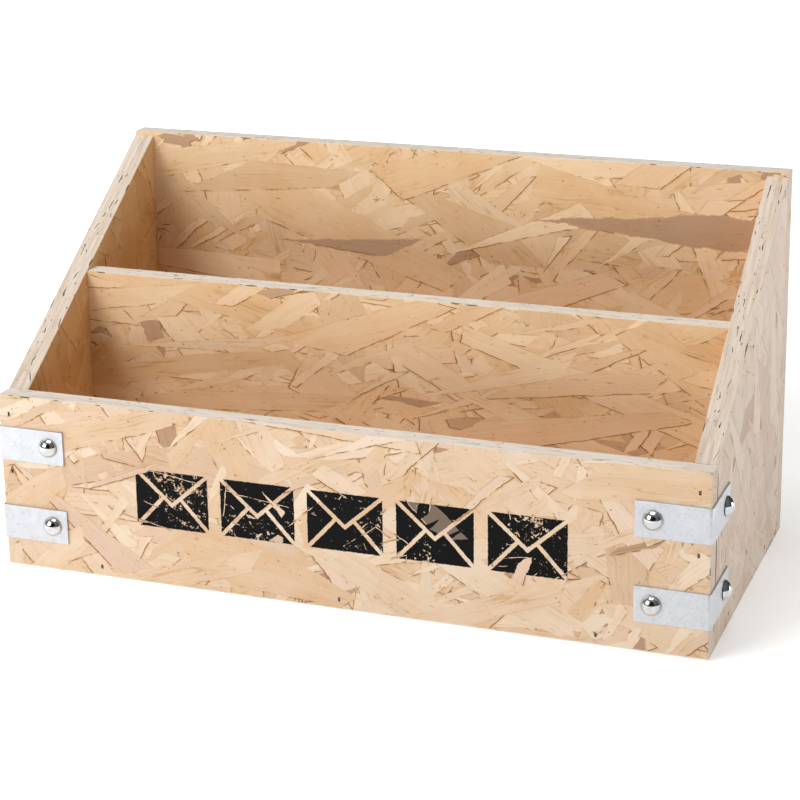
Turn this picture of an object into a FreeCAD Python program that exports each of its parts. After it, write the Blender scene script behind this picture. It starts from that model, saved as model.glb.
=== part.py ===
import FreeCAD, Part
import math
import os
import Sketcher

# Desk letter rack of strand board: an open-topped tray with a low front, a tall back, two sloped
# sides and one divider.  Galvanised corner straps with dome-head nails hold the two front corners,
# and sunk brads hold the boards together.  Nothing on it moves.
# Frame: +X to the right seen from the front, the front faces -Y, +Z up.  The origin is on the
# surface it stands on, in the middle of the whole rack, nail heads included.

DIMENSIONS = [
    ("overall_width", 330.0, "across the outer faces of the side boards"),
    ("overall_depth", 155.0, "front face of the front board to rear face of the back board"),
    ("back_height", 176.0, "height of the back board"),
    ("side_rear_height", 174.0, "height of a side board where it meets the back board"),
    ("front_height", 83.0, "height of the front board and of a side board's front end"),
    ("wall_thickness", 10.0, "front, back and side boards"),
    ("divider_thickness", 10.0, "divider board"),
    ("bottom_thickness", 10.0, "bottom board"),
    ("front_bay_depth", 60.0, "clear depth between the front board and the divider"),
    ("arris_radius", 0.6, "eased upright corners of the front board"),
    ("strap_width", 16.0, "height of a strap"),
    ("strap_leg", 33.0, "outer length of each leg of a strap"),
    ("strap_thickness", 0.9, "sheet thickness of a strap"),
    ("upper_strap_height", 60.0, "middle of the upper straps above the ground"),
    ("lower_strap_height", 22.0, "middle of the lower straps above the ground"),
    ("nail_inset", 24.5, "nail centre from the corner of the boards"),
    ("nail_head_diameter", 9.0, "dome head"),
    ("nail_head_height", 3.5, "dome head"),
    ("nail_shank_diameter", 2.0, "round shank"),
    ("nail_shank_length", 9.0, "under the head, point included"),
    ("nail_point_length", 2.0, "tapered end of the shank"),
    ("brad_length", 20.0, "head included"),
    ("brad_thickness", 1.0, "horizontal size of the wire and of the head"),
    ("brad_width", 1.25, "upright size of the wire"),
    ("brad_head_width", 1.9, "upright size of the head"),
    ("brad_head_height", 0.8, "size of the head along the brad"),
    ("brad_sink", 0.5, "depth of a brad's head below the board's face"),
    ("brad_margin", 9.0, "distance of the outer brads in a row from the ends of their joint"),
    ("fastener_clearance", 0.03, "gap all round a nail's shank or a brad in its hole"),
]

UP = FreeCAD.Vector(0, 0, 1)
OUTWARD = {
    "front": FreeCAD.Vector(0, -1, 0),
    "back": FreeCAD.Vector(0, 1, 0),
    "left": FreeCAD.Vector(-1, 0, 0),
    "right": FreeCAD.Vector(1, 0, 0),
}
SIDES = {"left": -1, "right": 1}
STRAP_LEVELS = ("upper", "lower")
DRAFT_RADIUS = 50.0  # an outline's corners start on this circle, before expressions place them
SAME_PLACE = 0.01

# Places that follow from the sheet, written once and used in the expressions below.
STAND_OFF = "(sizes.strap_thickness + sizes.nail_head_height)"
FRONT_FACE = f"(({STAND_OFF} - sizes.overall_depth) / 2)"
BACK_FACE = f"({FRONT_FACE} + sizes.overall_depth)"
HALF_WIDTH = "(sizes.overall_width / 2)"
INNER_WIDTH = "(sizes.overall_width - 2 * sizes.wall_thickness)"
INNER_DEPTH = "(sizes.overall_depth - 2 * sizes.wall_thickness)"
SLOPE = f"((sizes.side_rear_height - sizes.front_height) / {INNER_DEPTH})"
DIVIDER_HEIGHT = f"(sizes.front_height + {SLOPE} * sizes.front_bay_depth)"
DIVIDER_MIDDLE = (
    f"({FRONT_FACE} + sizes.wall_thickness + sizes.front_bay_depth + sizes.divider_thickness / 2)"
)
BRAD_REACH = "(sizes.brad_length + sizes.brad_sink)"
REAR_BRAD_TOP = (
    f"(sizes.side_rear_height - {SLOPE} * ({BRAD_REACH} - sizes.wall_thickness) - sizes.brad_margin)"
)

doc = FreeCAD.newDocument("letter_rack")


def fill_sheet():
    """The spreadsheet of driving dimensions, one row and one alias for each."""
    sheet = doc.addObject("Spreadsheet::Sheet", "sizes")
    for row, (name, value, meaning) in enumerate(DIMENSIONS, start=1):
        sheet.set(f"A{row}", name)
        sheet.set(f"B{row}", str(value))
        sheet.setAlias(f"B{row}", name)
        sheet.set(f"C{row}", meaning)
    doc.recompute()
    return sheet


def bind(item, sizes):
    """Ties properties of an object to expressions."""
    for name, expression in sizes.items():
        item.setExpression(name, expression)


def place(item, x_place, y_place, z_place):
    """Ties an object's position to three expressions."""
    places = {"x": x_place, "y": y_place, "z": z_place}
    for axis, expression in places.items():
        item.setExpression(f".Placement.Base.{axis}", expression)


def facing(face):
    """Rotation that turns +Z to a face's outward normal and keeps +Y upright."""
    outward = OUTWARD[face]
    return FreeCAD.Rotation(UP.cross(outward), UP, outward, "ZYX")


def origin_plane(body, role):
    """One of a body's own origin planes."""
    return next(item for item in body.Origin.OriginFeatures if item.Role == role)


def new_sketch(body, name, role):
    """A sketch flat on one of its body's origin planes."""
    sketch = body.newObject("Sketcher::SketchObject", name)
    sketch.AttachmentSupport = (origin_plane(body, role), [""])
    sketch.MapMode = "FlatFace"
    return sketch


def fix_corner(sketch, line, corner, name, across, along):
    """Ties the start of a line to two expressions, measured from the sketch's origin."""
    for kind, start, expression in (("DistanceX", corner.x, across), ("DistanceY", corner.y, along)):
        index = sketch.addConstraint(Sketcher.Constraint(kind, line, 1, start))
        sketch.renameConstraint(index, f"{name}_{kind}")
        sketch.setExpression(f"Constraints.{name}_{kind}", expression)


def draw_outline(sketch, corners):
    """A closed outline of straight lines through corners given as pairs of expressions."""
    count = len(corners)
    first = FreeCAD.Vector(DRAFT_RADIUS, 0, 0)
    starts = [FreeCAD.Rotation(UP, 360.0 * step / count).multVec(first) for step in range(count)]
    for step, start in enumerate(starts):
        sketch.addGeometry(Part.LineSegment(start, starts[(step + 1) % count]))
    for step in range(count):
        sketch.addConstraint(Sketcher.Constraint("Coincident", step, 2, (step + 1) % count, 1))
    for step, (across, along) in enumerate(corners):
        fix_corner(sketch, step, starts[step], f"corner_{step}", across, along)


def pad(body, sketch, name, length):
    """A pad of a sketch, even on both sides of its plane."""
    feature = body.newObject("PartDesign::Pad", name)
    feature.Profile = sketch
    feature.SideType = "Symmetric"
    feature.setExpression("Length", length)
    return feature


def upright_edges(shape, x_place, y_place):
    """Names of the upright edges at a place in plan."""
    names = []
    for number, edge in enumerate(shape.Edges, start=1):
        ends = [vertex.Point for vertex in edge.Vertexes]
        if all(math.hypot(end.x - x_place, end.y - y_place) < SAME_PLACE for end in ends):
            names.append(f"Edge{number}")
    return names


def round_edges(body, base, name, edges, radius):
    """A fillet on named edges of a feature."""
    fillet = body.newObject("PartDesign::Fillet", name)
    fillet.Base = (base, edges)
    fillet.setExpression("Radius", radius)
    return fillet


def rectangular_board(name, width, height, thickness, role):
    """A board with a rectangular outline: width by height, its thickness even about the plane."""
    body = doc.addObject("PartDesign::Body", name)
    sketch = new_sketch(body, f"{name}_outline", role)
    half = f"{width} / 2"
    draw_outline(sketch, [(f"-{half}", "0"), (half, "0"), (half, height), (f"-{half}", height)])
    pad(body, sketch, f"{name}_pad", thickness)
    return body


def front_blank(sheet):
    """The front board, its outer upright corners eased where the straps bend round them."""
    body = rectangular_board("front_blank", "sizes.overall_width", "sizes.front_height",
                             "sizes.wall_thickness", "XZ_Plane")
    place(body, "0", f"{FRONT_FACE} + sizes.wall_thickness / 2", "0")
    doc.recompute()
    base = body.Tip
    half_width = sheet.overall_width / 2
    front_plane = -sheet.wall_thickness / 2
    edges = []
    for sign in SIDES.values():
        edges += upright_edges(base.Shape, sign * half_width, front_plane)
    round_edges(body, base, "front_eased_corners", edges, "sizes.arris_radius")
    return body


def back_blank():
    """The back board, which covers the rear ends of the sides."""
    body = rectangular_board("back_blank", "sizes.overall_width", "sizes.back_height",
                             "sizes.wall_thickness", "XZ_Plane")
    place(body, "0", f"{BACK_FACE} - sizes.wall_thickness / 2", "0")
    return body


def divider_blank():
    """The divider, which stands on the bottom board between the sides."""
    body = rectangular_board("divider_blank", INNER_WIDTH, f"({DIVIDER_HEIGHT} - sizes.bottom_thickness)",
                             "sizes.divider_thickness", "XZ_Plane")
    place(body, "0", DIVIDER_MIDDLE, "sizes.bottom_thickness")
    return body


def bottom_blank():
    """The bottom board, which fills the floor inside the four walls."""
    body = rectangular_board("bottom_blank", INNER_WIDTH, INNER_DEPTH, "sizes.bottom_thickness", "XY_Plane")
    place(body, "0", f"{FRONT_FACE} + sizes.wall_thickness", "sizes.bottom_thickness / 2")
    return body


def side_blank(side):
    """A side board: upright ends and a straight sloped top between them."""
    name = f"{side}_side_blank"
    body = doc.addObject("PartDesign::Body", name)
    sketch = new_sketch(body, f"{name}_outline", "YZ_Plane")
    draw_outline(sketch, [
        ("0", "0"),
        (INNER_DEPTH, "0"),
        (INNER_DEPTH, "sizes.side_rear_height"),
        ("0", "sizes.front_height"),
    ])
    pad(body, sketch, f"{name}_pad", "sizes.wall_thickness")
    middle = f"{SIDES[side]} * ({HALF_WIDTH} - sizes.wall_thickness / 2)"
    place(body, middle, f"{FRONT_FACE} + sizes.wall_thickness", "0")
    return body


def strap_blank(side, level, sheet):
    """An L of sheet metal round a front corner, bent to the corner's eased radius."""
    name = f"{side}_{level}_strap_blank"
    sign = SIDES[side]
    body = doc.addObject("PartDesign::Body", name)
    sketch = new_sketch(body, f"{name}_outline", "XY_Plane")
    outer = f"{sign} * sizes.strap_thickness"
    far = f"{-sign} * (sizes.strap_leg - sizes.strap_thickness)"
    draw_outline(sketch, [
        (outer, "-sizes.strap_thickness"),
        (outer, "sizes.strap_leg - sizes.strap_thickness"),
        ("0", "sizes.strap_leg - sizes.strap_thickness"),
        ("0", "0"),
        (far, "0"),
        (far, "-sizes.strap_thickness"),
    ])
    base = pad(body, sketch, f"{name}_pad", "sizes.strap_width")
    place(body, f"{sign} * {HALF_WIDTH}", FRONT_FACE, f"sizes.{level}_strap_height")
    doc.recompute()
    inner_edges = upright_edges(base.Shape, 0, 0)
    inner = round_edges(body, base, f"{name}_inner_bend", inner_edges, "sizes.arris_radius")
    doc.recompute()
    outer_edges = upright_edges(inner.Shape, sign * sheet.strap_thickness, -sheet.strap_thickness)
    outer_radius = "sizes.arris_radius + sizes.strap_thickness"
    round_edges(body, inner, f"{name}_outer_bend", outer_edges, outer_radius)
    return body


def nail_place(side, level, leg):
    """Where a nail goes: its face and the middle of the underside of its head."""
    sign = SIDES[side]
    height = f"sizes.{level}_strap_height"
    if leg == "front":
        inset = f"{sign} * ({HALF_WIDTH} - sizes.nail_inset)"
        return "front", (inset, f"{FRONT_FACE} - sizes.strap_thickness", height)
    outer = f"{sign} * ({HALF_WIDTH} + sizes.strap_thickness)"
    return side, (outer, f"{FRONT_FACE} + sizes.nail_inset", height)


def turn_profile(body, sketch, name):
    """A full turn of a sketch about its own upright axis."""
    feature = body.newObject("PartDesign::Revolution", name)
    feature.Profile = sketch
    feature.ReferenceAxis = (sketch, ["V_Axis"])
    feature.Angle = 360
    return feature


def nail(label, face, spot, sheet):
    """A dome-head nail: a spherical cap, a round shank and a tapered point."""
    body = doc.addObject("PartDesign::Body", label)
    sketch = new_sketch(body, f"{label}_profile", "XZ_Plane")
    corners = [
        ("0", "sizes.nail_head_height"),
        ("0", "-sizes.nail_shank_length"),
        ("sizes.nail_shank_diameter / 2", "sizes.nail_point_length - sizes.nail_shank_length"),
        ("sizes.nail_shank_diameter / 2", "0"),
        ("sizes.nail_head_diameter / 2", "0"),
    ]
    draw_outline(sketch, corners)
    doc.recompute()
    rim_radius = sheet.nail_head_diameter / 2
    cap_height = sheet.nail_head_height
    cap_radius = (rim_radius ** 2 + cap_height ** 2) / (2 * cap_height)
    closing_line = len(corners) - 1
    sketch.toggleConstruction(closing_line)
    middle = FreeCAD.Vector(0, cap_height - cap_radius, 0)
    rim = FreeCAD.Vector(rim_radius, 0, 0)
    crown = FreeCAD.Vector(0, cap_height, 0)
    half_way = middle + ((rim + crown) / 2 - middle).normalize() * cap_radius
    dome = sketch.addGeometry(Part.Arc(rim, half_way, crown))
    sketch.addConstraint(Sketcher.Constraint("Coincident", dome, 1, closing_line, 1))
    sketch.addConstraint(Sketcher.Constraint("Coincident", dome, 2, closing_line, 2))
    sketch.addConstraint(Sketcher.Constraint("PointOnObject", dome, 3, -2))
    turn_profile(body, sketch, f"{label}_turn")
    body.Placement.Rotation = facing(face)
    place(body, *spot)
    return body


def nail_hole(label, face, spot):
    """The hole that a nail's shank makes."""
    hole = doc.addObject("Part::Cylinder", f"{label}_hole")
    bind(hole, {
        "Radius": "sizes.nail_shank_diameter / 2 + sizes.fastener_clearance",
        "Height": "sizes.nail_shank_length + sizes.fastener_clearance",
    })
    inward = OUTWARD[face] * -1
    hole.Placement.Rotation = FreeCAD.Rotation(UP, inward)
    place(hole, *spot)
    return hole


def box_below(name, width, height, top, bottom):
    """A box about the Z axis: width along X, height along Y, between two levels."""
    box = doc.addObject("Part::Box", name)
    bind(box, {"Length": width, "Width": height, "Height": f"({top}) - ({bottom})"})
    place(box, f"-({width}) / 2", f"-({height}) / 2", bottom)
    return box


def fused(name, first, second, face, spot):
    """Two solids joined into one, turned to a face and put in place."""
    joined = doc.addObject("Part::Fuse", name)
    joined.Base = first
    joined.Tool = second
    joined.Placement.Rotation = facing(face)
    place(joined, *spot)
    return joined


def brad(name, face, spot):
    """A brad: flat wire with a T head, sunk below the face that it is driven through."""
    head_top = "-sizes.brad_sink"
    head_bottom = "-sizes.brad_sink - sizes.brad_head_height"
    tip = f"-{BRAD_REACH}"
    head = box_below(f"{name}_head", "sizes.brad_thickness", "sizes.brad_head_width", head_top, head_bottom)
    wire = box_below(f"{name}_wire", "sizes.brad_thickness", "sizes.brad_width", head_bottom, tip)
    return fused(name, head, wire, face, spot)


def brad_hole(name, face, spot):
    """The hole that a brad makes: its own shape with clearance, open at the face."""
    gap = "sizes.fastener_clearance"
    shoulder = f"-sizes.brad_sink - sizes.brad_head_height - {gap}"
    tip = f"-{BRAD_REACH} - {gap}"
    thickness = f"sizes.brad_thickness + 2 * {gap}"
    head = box_below(f"{name}_head_hole", thickness, f"sizes.brad_head_width + 2 * {gap}", "0", shoulder)
    wire = box_below(f"{name}_wire_hole", thickness, f"sizes.brad_width + 2 * {gap}", shoulder, tip)
    return fused(f"{name}_hole", head, wire, face, spot)


def spread(low, high, count):
    """Expressions for evenly spaced places from one to another, both included."""
    return [f"({low}) + {step} / {count - 1} * (({high}) - ({low}))" for step in range(count)]


def end_brad_spots(face, count, top):
    """Brads through the front or back board into the ends of both sides."""
    face_place = {"front": FRONT_FACE, "back": BACK_FACE}[face]
    low = "sizes.bottom_thickness + sizes.brad_margin"
    spots = []
    for sign in SIDES.values():
        middle = f"{sign} * ({HALF_WIDTH} - sizes.wall_thickness / 2)"
        spots += [(middle, face_place, height) for height in spread(low, top, count)]
    return spots


def bottom_brad_spots_lengthwise(face):
    """Brads through the front or back board into the long edge of the bottom board."""
    face_place = {"front": FRONT_FACE, "back": BACK_FACE}[face]
    reach = f"({INNER_WIDTH} / 2 - 2 * sizes.brad_margin - {BRAD_REACH})"
    return [(across, face_place, "sizes.bottom_thickness / 2") for across in spread(f"-{reach}", reach, 3)]


def side_brad_spots(side, low, high, count, upright):
    """Brads through a side board: a row that stands over one place, or lies at one level."""
    outer = f"{SIDES[side]} * {HALF_WIDTH}"
    if upright:
        return [(outer, DIVIDER_MIDDLE, height) for height in spread(low, high, count)]
    level = "sizes.bottom_thickness / 2"
    return [(outer, along, level) for along in spread(low, high, count)]


def group(label, parts):
    """Several separate solids kept as one sub-part."""
    compound = doc.addObject("Part::Compound", label)
    compound.Links = parts
    return compound


def drilled(label, blank, holes):
    """A blank with the holes of its nails and brads."""
    cut = doc.addObject("Part::Cut", label)
    cut.Base = blank
    cut.Tool = group(f"{label}_holes", holes)
    return cut


def brads_of(label, rows):
    """One sub-part of brads from rows of (face, spots), and the hole of each by its face."""
    brads = []
    holes = {}
    for face, spots in rows:
        for spot in spots:
            name = f"{label}_{len(brads) + 1}"
            brads.append(brad(name, face, spot))
            holes.setdefault(face, []).append(brad_hole(name, face, spot))
    return group(label, brads), holes


def build_brads():
    """The four groups of brads, each with its holes by face."""
    low = "sizes.bottom_thickness + sizes.brad_margin"
    front = brads_of("front_panel_brads", [
        ("front", end_brad_spots("front", 3, "sizes.front_height - sizes.brad_margin")),
        ("front", bottom_brad_spots_lengthwise("front")),
    ])
    back = brads_of("back_panel_brads", [
        ("back", end_brad_spots("back", 4, REAR_BRAD_TOP)),
        ("back", bottom_brad_spots_lengthwise("back")),
    ])
    divider_top = f"{DIVIDER_HEIGHT} - sizes.brad_margin"
    divider = brads_of("divider_brads", [
        (side, side_brad_spots(side, low, divider_top, 3, True)) for side in SIDES
    ])
    front_end = f"{FRONT_FACE} + {BRAD_REACH} + 2 * sizes.brad_margin"
    rear_end = f"{BACK_FACE} - {BRAD_REACH} - 2 * sizes.brad_margin"
    bottom = brads_of("bottom_panel_brads", [
        (side, side_brad_spots(side, front_end, rear_end, 2, False)) for side in SIDES
    ])
    return {"front": front, "back": back, "divider": divider, "bottom": bottom}


def build_corners(sheet):
    """The straps and their nails, with the nail holes by the face that they go into."""
    parts = []
    holes = {face: [] for face in OUTWARD}
    for side in SIDES:
        for level in STRAP_LEVELS:
            strap_holes = []
            for leg in ("front", "side"):
                label = f"{side}_{level}_{leg}_nail"
                face, spot = nail_place(side, level, leg)
                parts.append(nail(label, face, spot, sheet))
                strap_holes.append(nail_hole(f"{label}_in_strap", face, spot))
                holes[face].append(nail_hole(f"{label}_in_board", face, spot))
            blank = strap_blank(side, level, sheet)
            parts.append(drilled(f"{side}_{level}_strap", blank, strap_holes))
    return parts, holes


def copies(holes, name):
    """Hole shapes for one more board, because a hole belongs to one board's cut."""
    made = []
    for number, hole in enumerate(holes, start=1):
        link = doc.addObject("App::Link", f"{name}_{number}")
        link.LinkedObject = hole
        link.LinkTransform = True
        made.append(link)
    return made


def build():
    """Every sub-part of the rack."""
    sheet = fill_sheet()
    brads = build_brads()
    corners, nail_holes = build_corners(sheet)
    brad_holes = {}
    for name, (_, by_face) in brads.items():
        for face, holes in by_face.items():
            brad_holes[name, face] = holes
    front_holes = brad_holes["front", "front"]
    back_holes = brad_holes["back", "back"]
    boards = [
        drilled("front_panel", front_blank(sheet), front_holes + nail_holes["front"]),
        drilled("back_panel", back_blank(), back_holes),
    ]
    side_cuts = []
    for side in SIDES:
        own = brad_holes["divider", side] + brad_holes["bottom", side]
        shared = copies(front_holes + back_holes, f"{side}_side_end_hole")
        side_cuts.append(drilled(f"{side}_side_panel", side_blank(side), own + shared + nail_holes[side]))
    divider_side_holes = brad_holes["divider", "left"] + brad_holes["divider", "right"]
    bottom_side_holes = brad_holes["bottom", "left"] + brad_holes["bottom", "right"]
    divider_holes = copies(divider_side_holes, "divider_end_hole")
    bottom_holes = copies(bottom_side_holes + front_holes + back_holes, "bottom_edge_hole")
    boards += side_cuts
    boards.append(drilled("divider_panel", divider_blank(), divider_holes))
    boards.append(drilled("bottom_panel", bottom_blank(), bottom_holes))
    return boards + corners + [compound for compound, _ in brads.values()]


def check_document(parts):
    """Stops if any object failed, or if a sub-part has no valid shape."""
    for item in doc.Objects:
        if "Invalid" in item.State or "Error" in item.State:
            raise RuntimeError(f"{item.Label} failed: {item.State}")
    for item in parts:
        if item.Shape.isNull() or not item.Shape.isValid():
            raise RuntimeError(f"{item.Label} has no valid shape")


def export(parts):
    """Writes each sub-part to its own file."""
    os.makedirs("parts", exist_ok=True)
    for item in parts:
        item.Shape.exportStep(f"parts/{item.Label}.step")
        print(f"{item.Label}: {len(item.Shape.Solids)} solids, {item.Shape.Volume:.1f} mm3")


rack_parts = build()
doc.recompute()
check_document(rack_parts)
export(rack_parts)
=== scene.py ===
import math
import random

import bpy
from bpy.props import FloatProperty, FloatVectorProperty, IntProperty, PointerProperty
from bpy.types import Operator, Panel, PropertyGroup
from mathutils import Matrix, Vector


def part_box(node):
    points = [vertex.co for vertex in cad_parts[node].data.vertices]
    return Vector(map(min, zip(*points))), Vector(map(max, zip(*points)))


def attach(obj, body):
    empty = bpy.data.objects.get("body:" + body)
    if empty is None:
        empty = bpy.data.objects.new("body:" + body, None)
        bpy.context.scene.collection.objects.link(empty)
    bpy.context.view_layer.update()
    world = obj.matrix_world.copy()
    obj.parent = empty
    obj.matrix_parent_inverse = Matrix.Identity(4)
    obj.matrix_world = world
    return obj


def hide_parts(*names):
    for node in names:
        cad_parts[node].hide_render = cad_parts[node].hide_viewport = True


bl_info = {
    "name": "Strand board letter rack",
    "version": (1, 0, 0),
    "blender": (4, 5, 0),
    "location": "3D View > Sidebar > Letter rack",
    "description": "Boards, corner straps, nails and brads of a desk letter rack",
    "category": "Object",
}

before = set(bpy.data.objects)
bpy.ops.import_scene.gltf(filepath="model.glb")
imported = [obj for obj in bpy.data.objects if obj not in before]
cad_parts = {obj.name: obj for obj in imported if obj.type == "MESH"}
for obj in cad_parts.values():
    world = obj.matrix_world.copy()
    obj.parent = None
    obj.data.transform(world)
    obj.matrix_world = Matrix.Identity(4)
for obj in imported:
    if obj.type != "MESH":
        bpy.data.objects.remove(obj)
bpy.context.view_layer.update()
BODY = "root"
MM = 0.001
QUARTER_TURN = math.pi / 2

# Each board and the axis that its thickness runs along.
BOARDS = {
    "front_panel": "Y",
    "back_panel": "Y",
    "left_side_panel": "X",
    "right_side_panel": "X",
    "divider_panel": "Y",
    "bottom_panel": "Z",
}
BRADS = ("front_panel_brads", "back_panel_brads", "divider_brads", "bottom_panel_brads")
# The corners that have a strap: side and level.
CORNERS = (("left", "upper"), ("left", "lower"), ("right", "upper"), ("right", "lower"))
AXES = {"X": Vector((1, 0, 0)), "Y": Vector((0, 1, 0)), "Z": Vector((0, 0, 1))}
# The cosine that tells a face or edge along an axis from one across it, and a strict one.
ALONG = 0.5
SQUARE_ON = 0.9
# Two places nearer than this are one place.
TOUCHING = 0.01 * MM


# ---------------------------------------------------------------- settings

class BoardSettings(PropertyGroup):
    """Looks of the six strand boards."""
    arris: FloatProperty(
        name="Arris", description="Width of the sanded corner of a board",
        default=0.35 * MM, unit="LENGTH")
    voids_per_metre: FloatProperty(
        name="Voids per metre", description="Open voids along each metre of the sides' edges",
        default=170.0)
    clean_share: FloatProperty(
        name="Clean share", description="Share of those voids on the other boards' edges", default=0.3)
    chips_per_metre: FloatProperty(
        name="Chips per metre", description="Chips along each metre of board corner", default=18.0)
    slits_per_area: FloatProperty(
        name="Slits per square metre", description="Thin splits on the sides' faces", default=1100.0)
    foot_arris: FloatProperty(
        name="Foot arris", description="Width of the sanded lower front corner", default=0.9 * MM,
        unit="LENGTH")
    seed: IntProperty(name="Seed", description="Start of the random order", default=11)


class MetalSettings(PropertyGroup):
    """Looks of the straps and nails."""
    zinc: FloatVectorProperty(
        name="Zinc", description="Colour of the zinc coat", subtype="COLOR", size=3,
        default=(0.66, 0.68, 0.71))
    steel: FloatVectorProperty(
        name="Nail steel", description="Colour of the polished nail heads", subtype="COLOR", size=3,
        default=(0.66, 0.665, 0.67))
    bend_radius: FloatProperty(
        name="Bend radius", description="Inner radius of the strap's bend", default=0.6 * MM,
        unit="LENGTH")
    strap_edge: FloatProperty(
        name="Strap edge", description="Rounding of the strap's sheared edges", default=0.12 * MM,
        unit="LENGTH")


class StageSettings(PropertyGroup):
    """The camera's place, aim and lens."""
    camera_place: FloatVectorProperty(
        name="Camera", description="Where the camera stands", subtype="TRANSLATION", size=3,
        default=(0.340, -0.8895, 0.3957))
    camera_tilt: FloatProperty(
        name="Tilt", description="How far the camera looks down", subtype="ANGLE",
        default=math.radians(16.21))
    camera_turn: FloatProperty(
        name="Turn", description="How far the camera looks to its left", subtype="ANGLE",
        default=math.radians(19.7))
    camera_roll: FloatProperty(
        name="Roll", description="How far the camera leans", subtype="ANGLE",
        default=math.radians(-0.6))
    lens: FloatProperty(name="Lens", description="Focal length in millimetres", default=97.9)
    shift: FloatVectorProperty(
        name="Shift", description="Sideways and upright lens shift", size=2, default=(-0.05, -0.12))


# ---------------------------------------------------------------- mesh helpers

def deselect():
    """Clears the selection in object mode."""
    bpy.ops.object.select_all(action="DESELECT")


def make_active(piece):
    """Selects one object alone."""
    deselect()
    piece.select_set(True)
    bpy.context.view_layer.objects.active = piece


def bake_place():
    """Moves the active object's place, turn and scale into its mesh."""
    bpy.ops.object.transform_apply(location=True, rotation=True, scale=True)


def add_block(name, low, high):
    """A block between two corners, with its place in its mesh."""
    deselect()
    bpy.ops.mesh.primitive_cube_add(size=1, location=(low + high) / 2)
    block = bpy.context.object
    block.name = name
    block.scale = high - low
    bake_place()
    return block


def edit(piece):
    """Opens one object for editing with nothing selected."""
    make_active(piece)
    bpy.ops.object.mode_set(mode="EDIT")
    bpy.ops.mesh.select_all(action="DESELECT")


def leave_edit():
    """Back to object mode."""
    bpy.ops.object.mode_set(mode="OBJECT")


def select_where(piece, kind, test):
    """Selects edges or faces of the open mesh that pass a test."""
    bpy.ops.mesh.select_mode(type={"edges": "EDGE", "polygons": "FACE"}[kind])
    bpy.ops.object.mode_set(mode="OBJECT")
    for part in getattr(piece.data, kind):
        part.select = test(part)
    bpy.ops.object.mode_set(mode="EDIT")


def extrude(x, y, z):
    """Extrudes the selected faces by a move."""
    bpy.ops.mesh.extrude_region_move(TRANSFORM_OT_translate={"value": (x, y, z)})


def outward():
    """Turns every face of the open mesh outwards."""
    bpy.ops.mesh.select_all(action="SELECT")
    bpy.ops.mesh.normals_make_consistent(inside=False)


def apply_modifier(piece, kind, **values):
    """Adds one modifier and applies it."""
    make_active(piece)
    modifier = piece.modifiers.new(kind.lower(), kind)
    for name, value in values.items():
        setattr(modifier, name, value)
    bpy.ops.object.modifier_apply(modifier=modifier.name)


def joined(pieces):
    """Joins several objects into one."""
    deselect()
    for piece in pieces:
        piece.select_set(True)
    bpy.context.view_layer.objects.active = pieces[0]
    bpy.ops.object.join()
    return bpy.context.object


def copy_of(piece, name, matrix):
    """A copy with its own mesh, moved by a matrix."""
    twin = piece.copy()
    twin.data = piece.data.copy()
    twin.name = name
    bpy.context.scene.collection.objects.link(twin)
    twin.data.transform(matrix)
    return twin


def remove(piece):
    """Deletes an object and its mesh."""
    mesh = piece.data
    bpy.data.objects.remove(piece)
    bpy.data.meshes.remove(mesh)


def cut_out(piece, cutters, **values):
    """Cuts the joined cutters out of a piece and deletes them."""
    tool = joined(cutters)
    apply_modifier(piece, "BOOLEAN", operation="DIFFERENCE", object=tool, solver="EXACT", **values)
    remove(tool)


def corners_of(points):
    """The lowest and highest corner of the box round some points."""
    low = Vector(min(point[axis] for point in points) for axis in range(3))
    high = Vector(max(point[axis] for point in points) for axis in range(3))
    return low, high


def middle_of(name):
    """The middle of a CAD node's box."""
    low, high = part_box(name)
    return (low + high) / 2


def hand_over(piece, node):
    """Makes a finished piece stand for a CAD node."""
    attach(piece, BODY)
    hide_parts(node)


# ---------------------------------------------------------------- node helpers

def set_input(tree, socket, value):
    """Links a socket, or gives it a plain value; a colour may leave out its alpha."""
    if isinstance(value, bpy.types.NodeSocket):
        tree.links.new(value, socket)
    elif value is not None:
        no_alpha = socket.type == "RGBA" and len(value) == 3
        socket.default_value = (*value, 1) if no_alpha else value


def set_inputs(tree, sockets, **values):
    """Sets several sockets by name, with _ for a space."""
    for name, value in values.items():
        set_input(tree, sockets[name.replace("_", " ")], value)


def node(tree, kind, inputs=(), **settings):
    """One node with its settings, and its inputs by place or by name."""
    made = tree.nodes.new(kind)
    for name, value in settings.items():
        setattr(made, name, value)
    items = inputs.items() if isinstance(inputs, dict) else enumerate(inputs)
    for key, value in items:
        set_input(tree, made.inputs[key], value)
    return made


def math_node(tree, operation, *values, clamp=False):
    """The result of a Math node."""
    return node(tree, "ShaderNodeMath", values, operation=operation, use_clamp=clamp).outputs[0]


def vector_node(tree, operation, *values):
    """The result of a Vector Math node."""
    made = node(tree, "ShaderNodeVectorMath", values, operation=operation)
    return made.outputs["Value" if operation in {"LENGTH", "DOT_PRODUCT"} else "Vector"]


def times(tree, first, second):
    """One value times another."""
    return math_node(tree, "MULTIPLY", first, second)


def times_plus(tree, value, factor, base):
    """A value times a factor, plus a base."""
    return math_node(tree, "MULTIPLY_ADD", value, factor, base)


def less(tree, first, second):
    """One value less another."""
    return math_node(tree, "SUBTRACT", first, second)


def larger(tree, first, second):
    """The larger of two values."""
    return math_node(tree, "MAXIMUM", first, second)


def smaller(tree, first, second):
    """The smaller of two values."""
    return math_node(tree, "MINIMUM", first, second)


def unsigned(tree, value):
    """A value without its sign."""
    return math_node(tree, "ABSOLUTE", value)


def opposite(tree, value):
    """One minus a value."""
    return less(tree, 1.0, value)


def either_way(tree, pick, reach):
    """A pick from 0 to 1 spread evenly about zero."""
    return times_plus(tree, pick, reach, -reach / 2)


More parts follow.
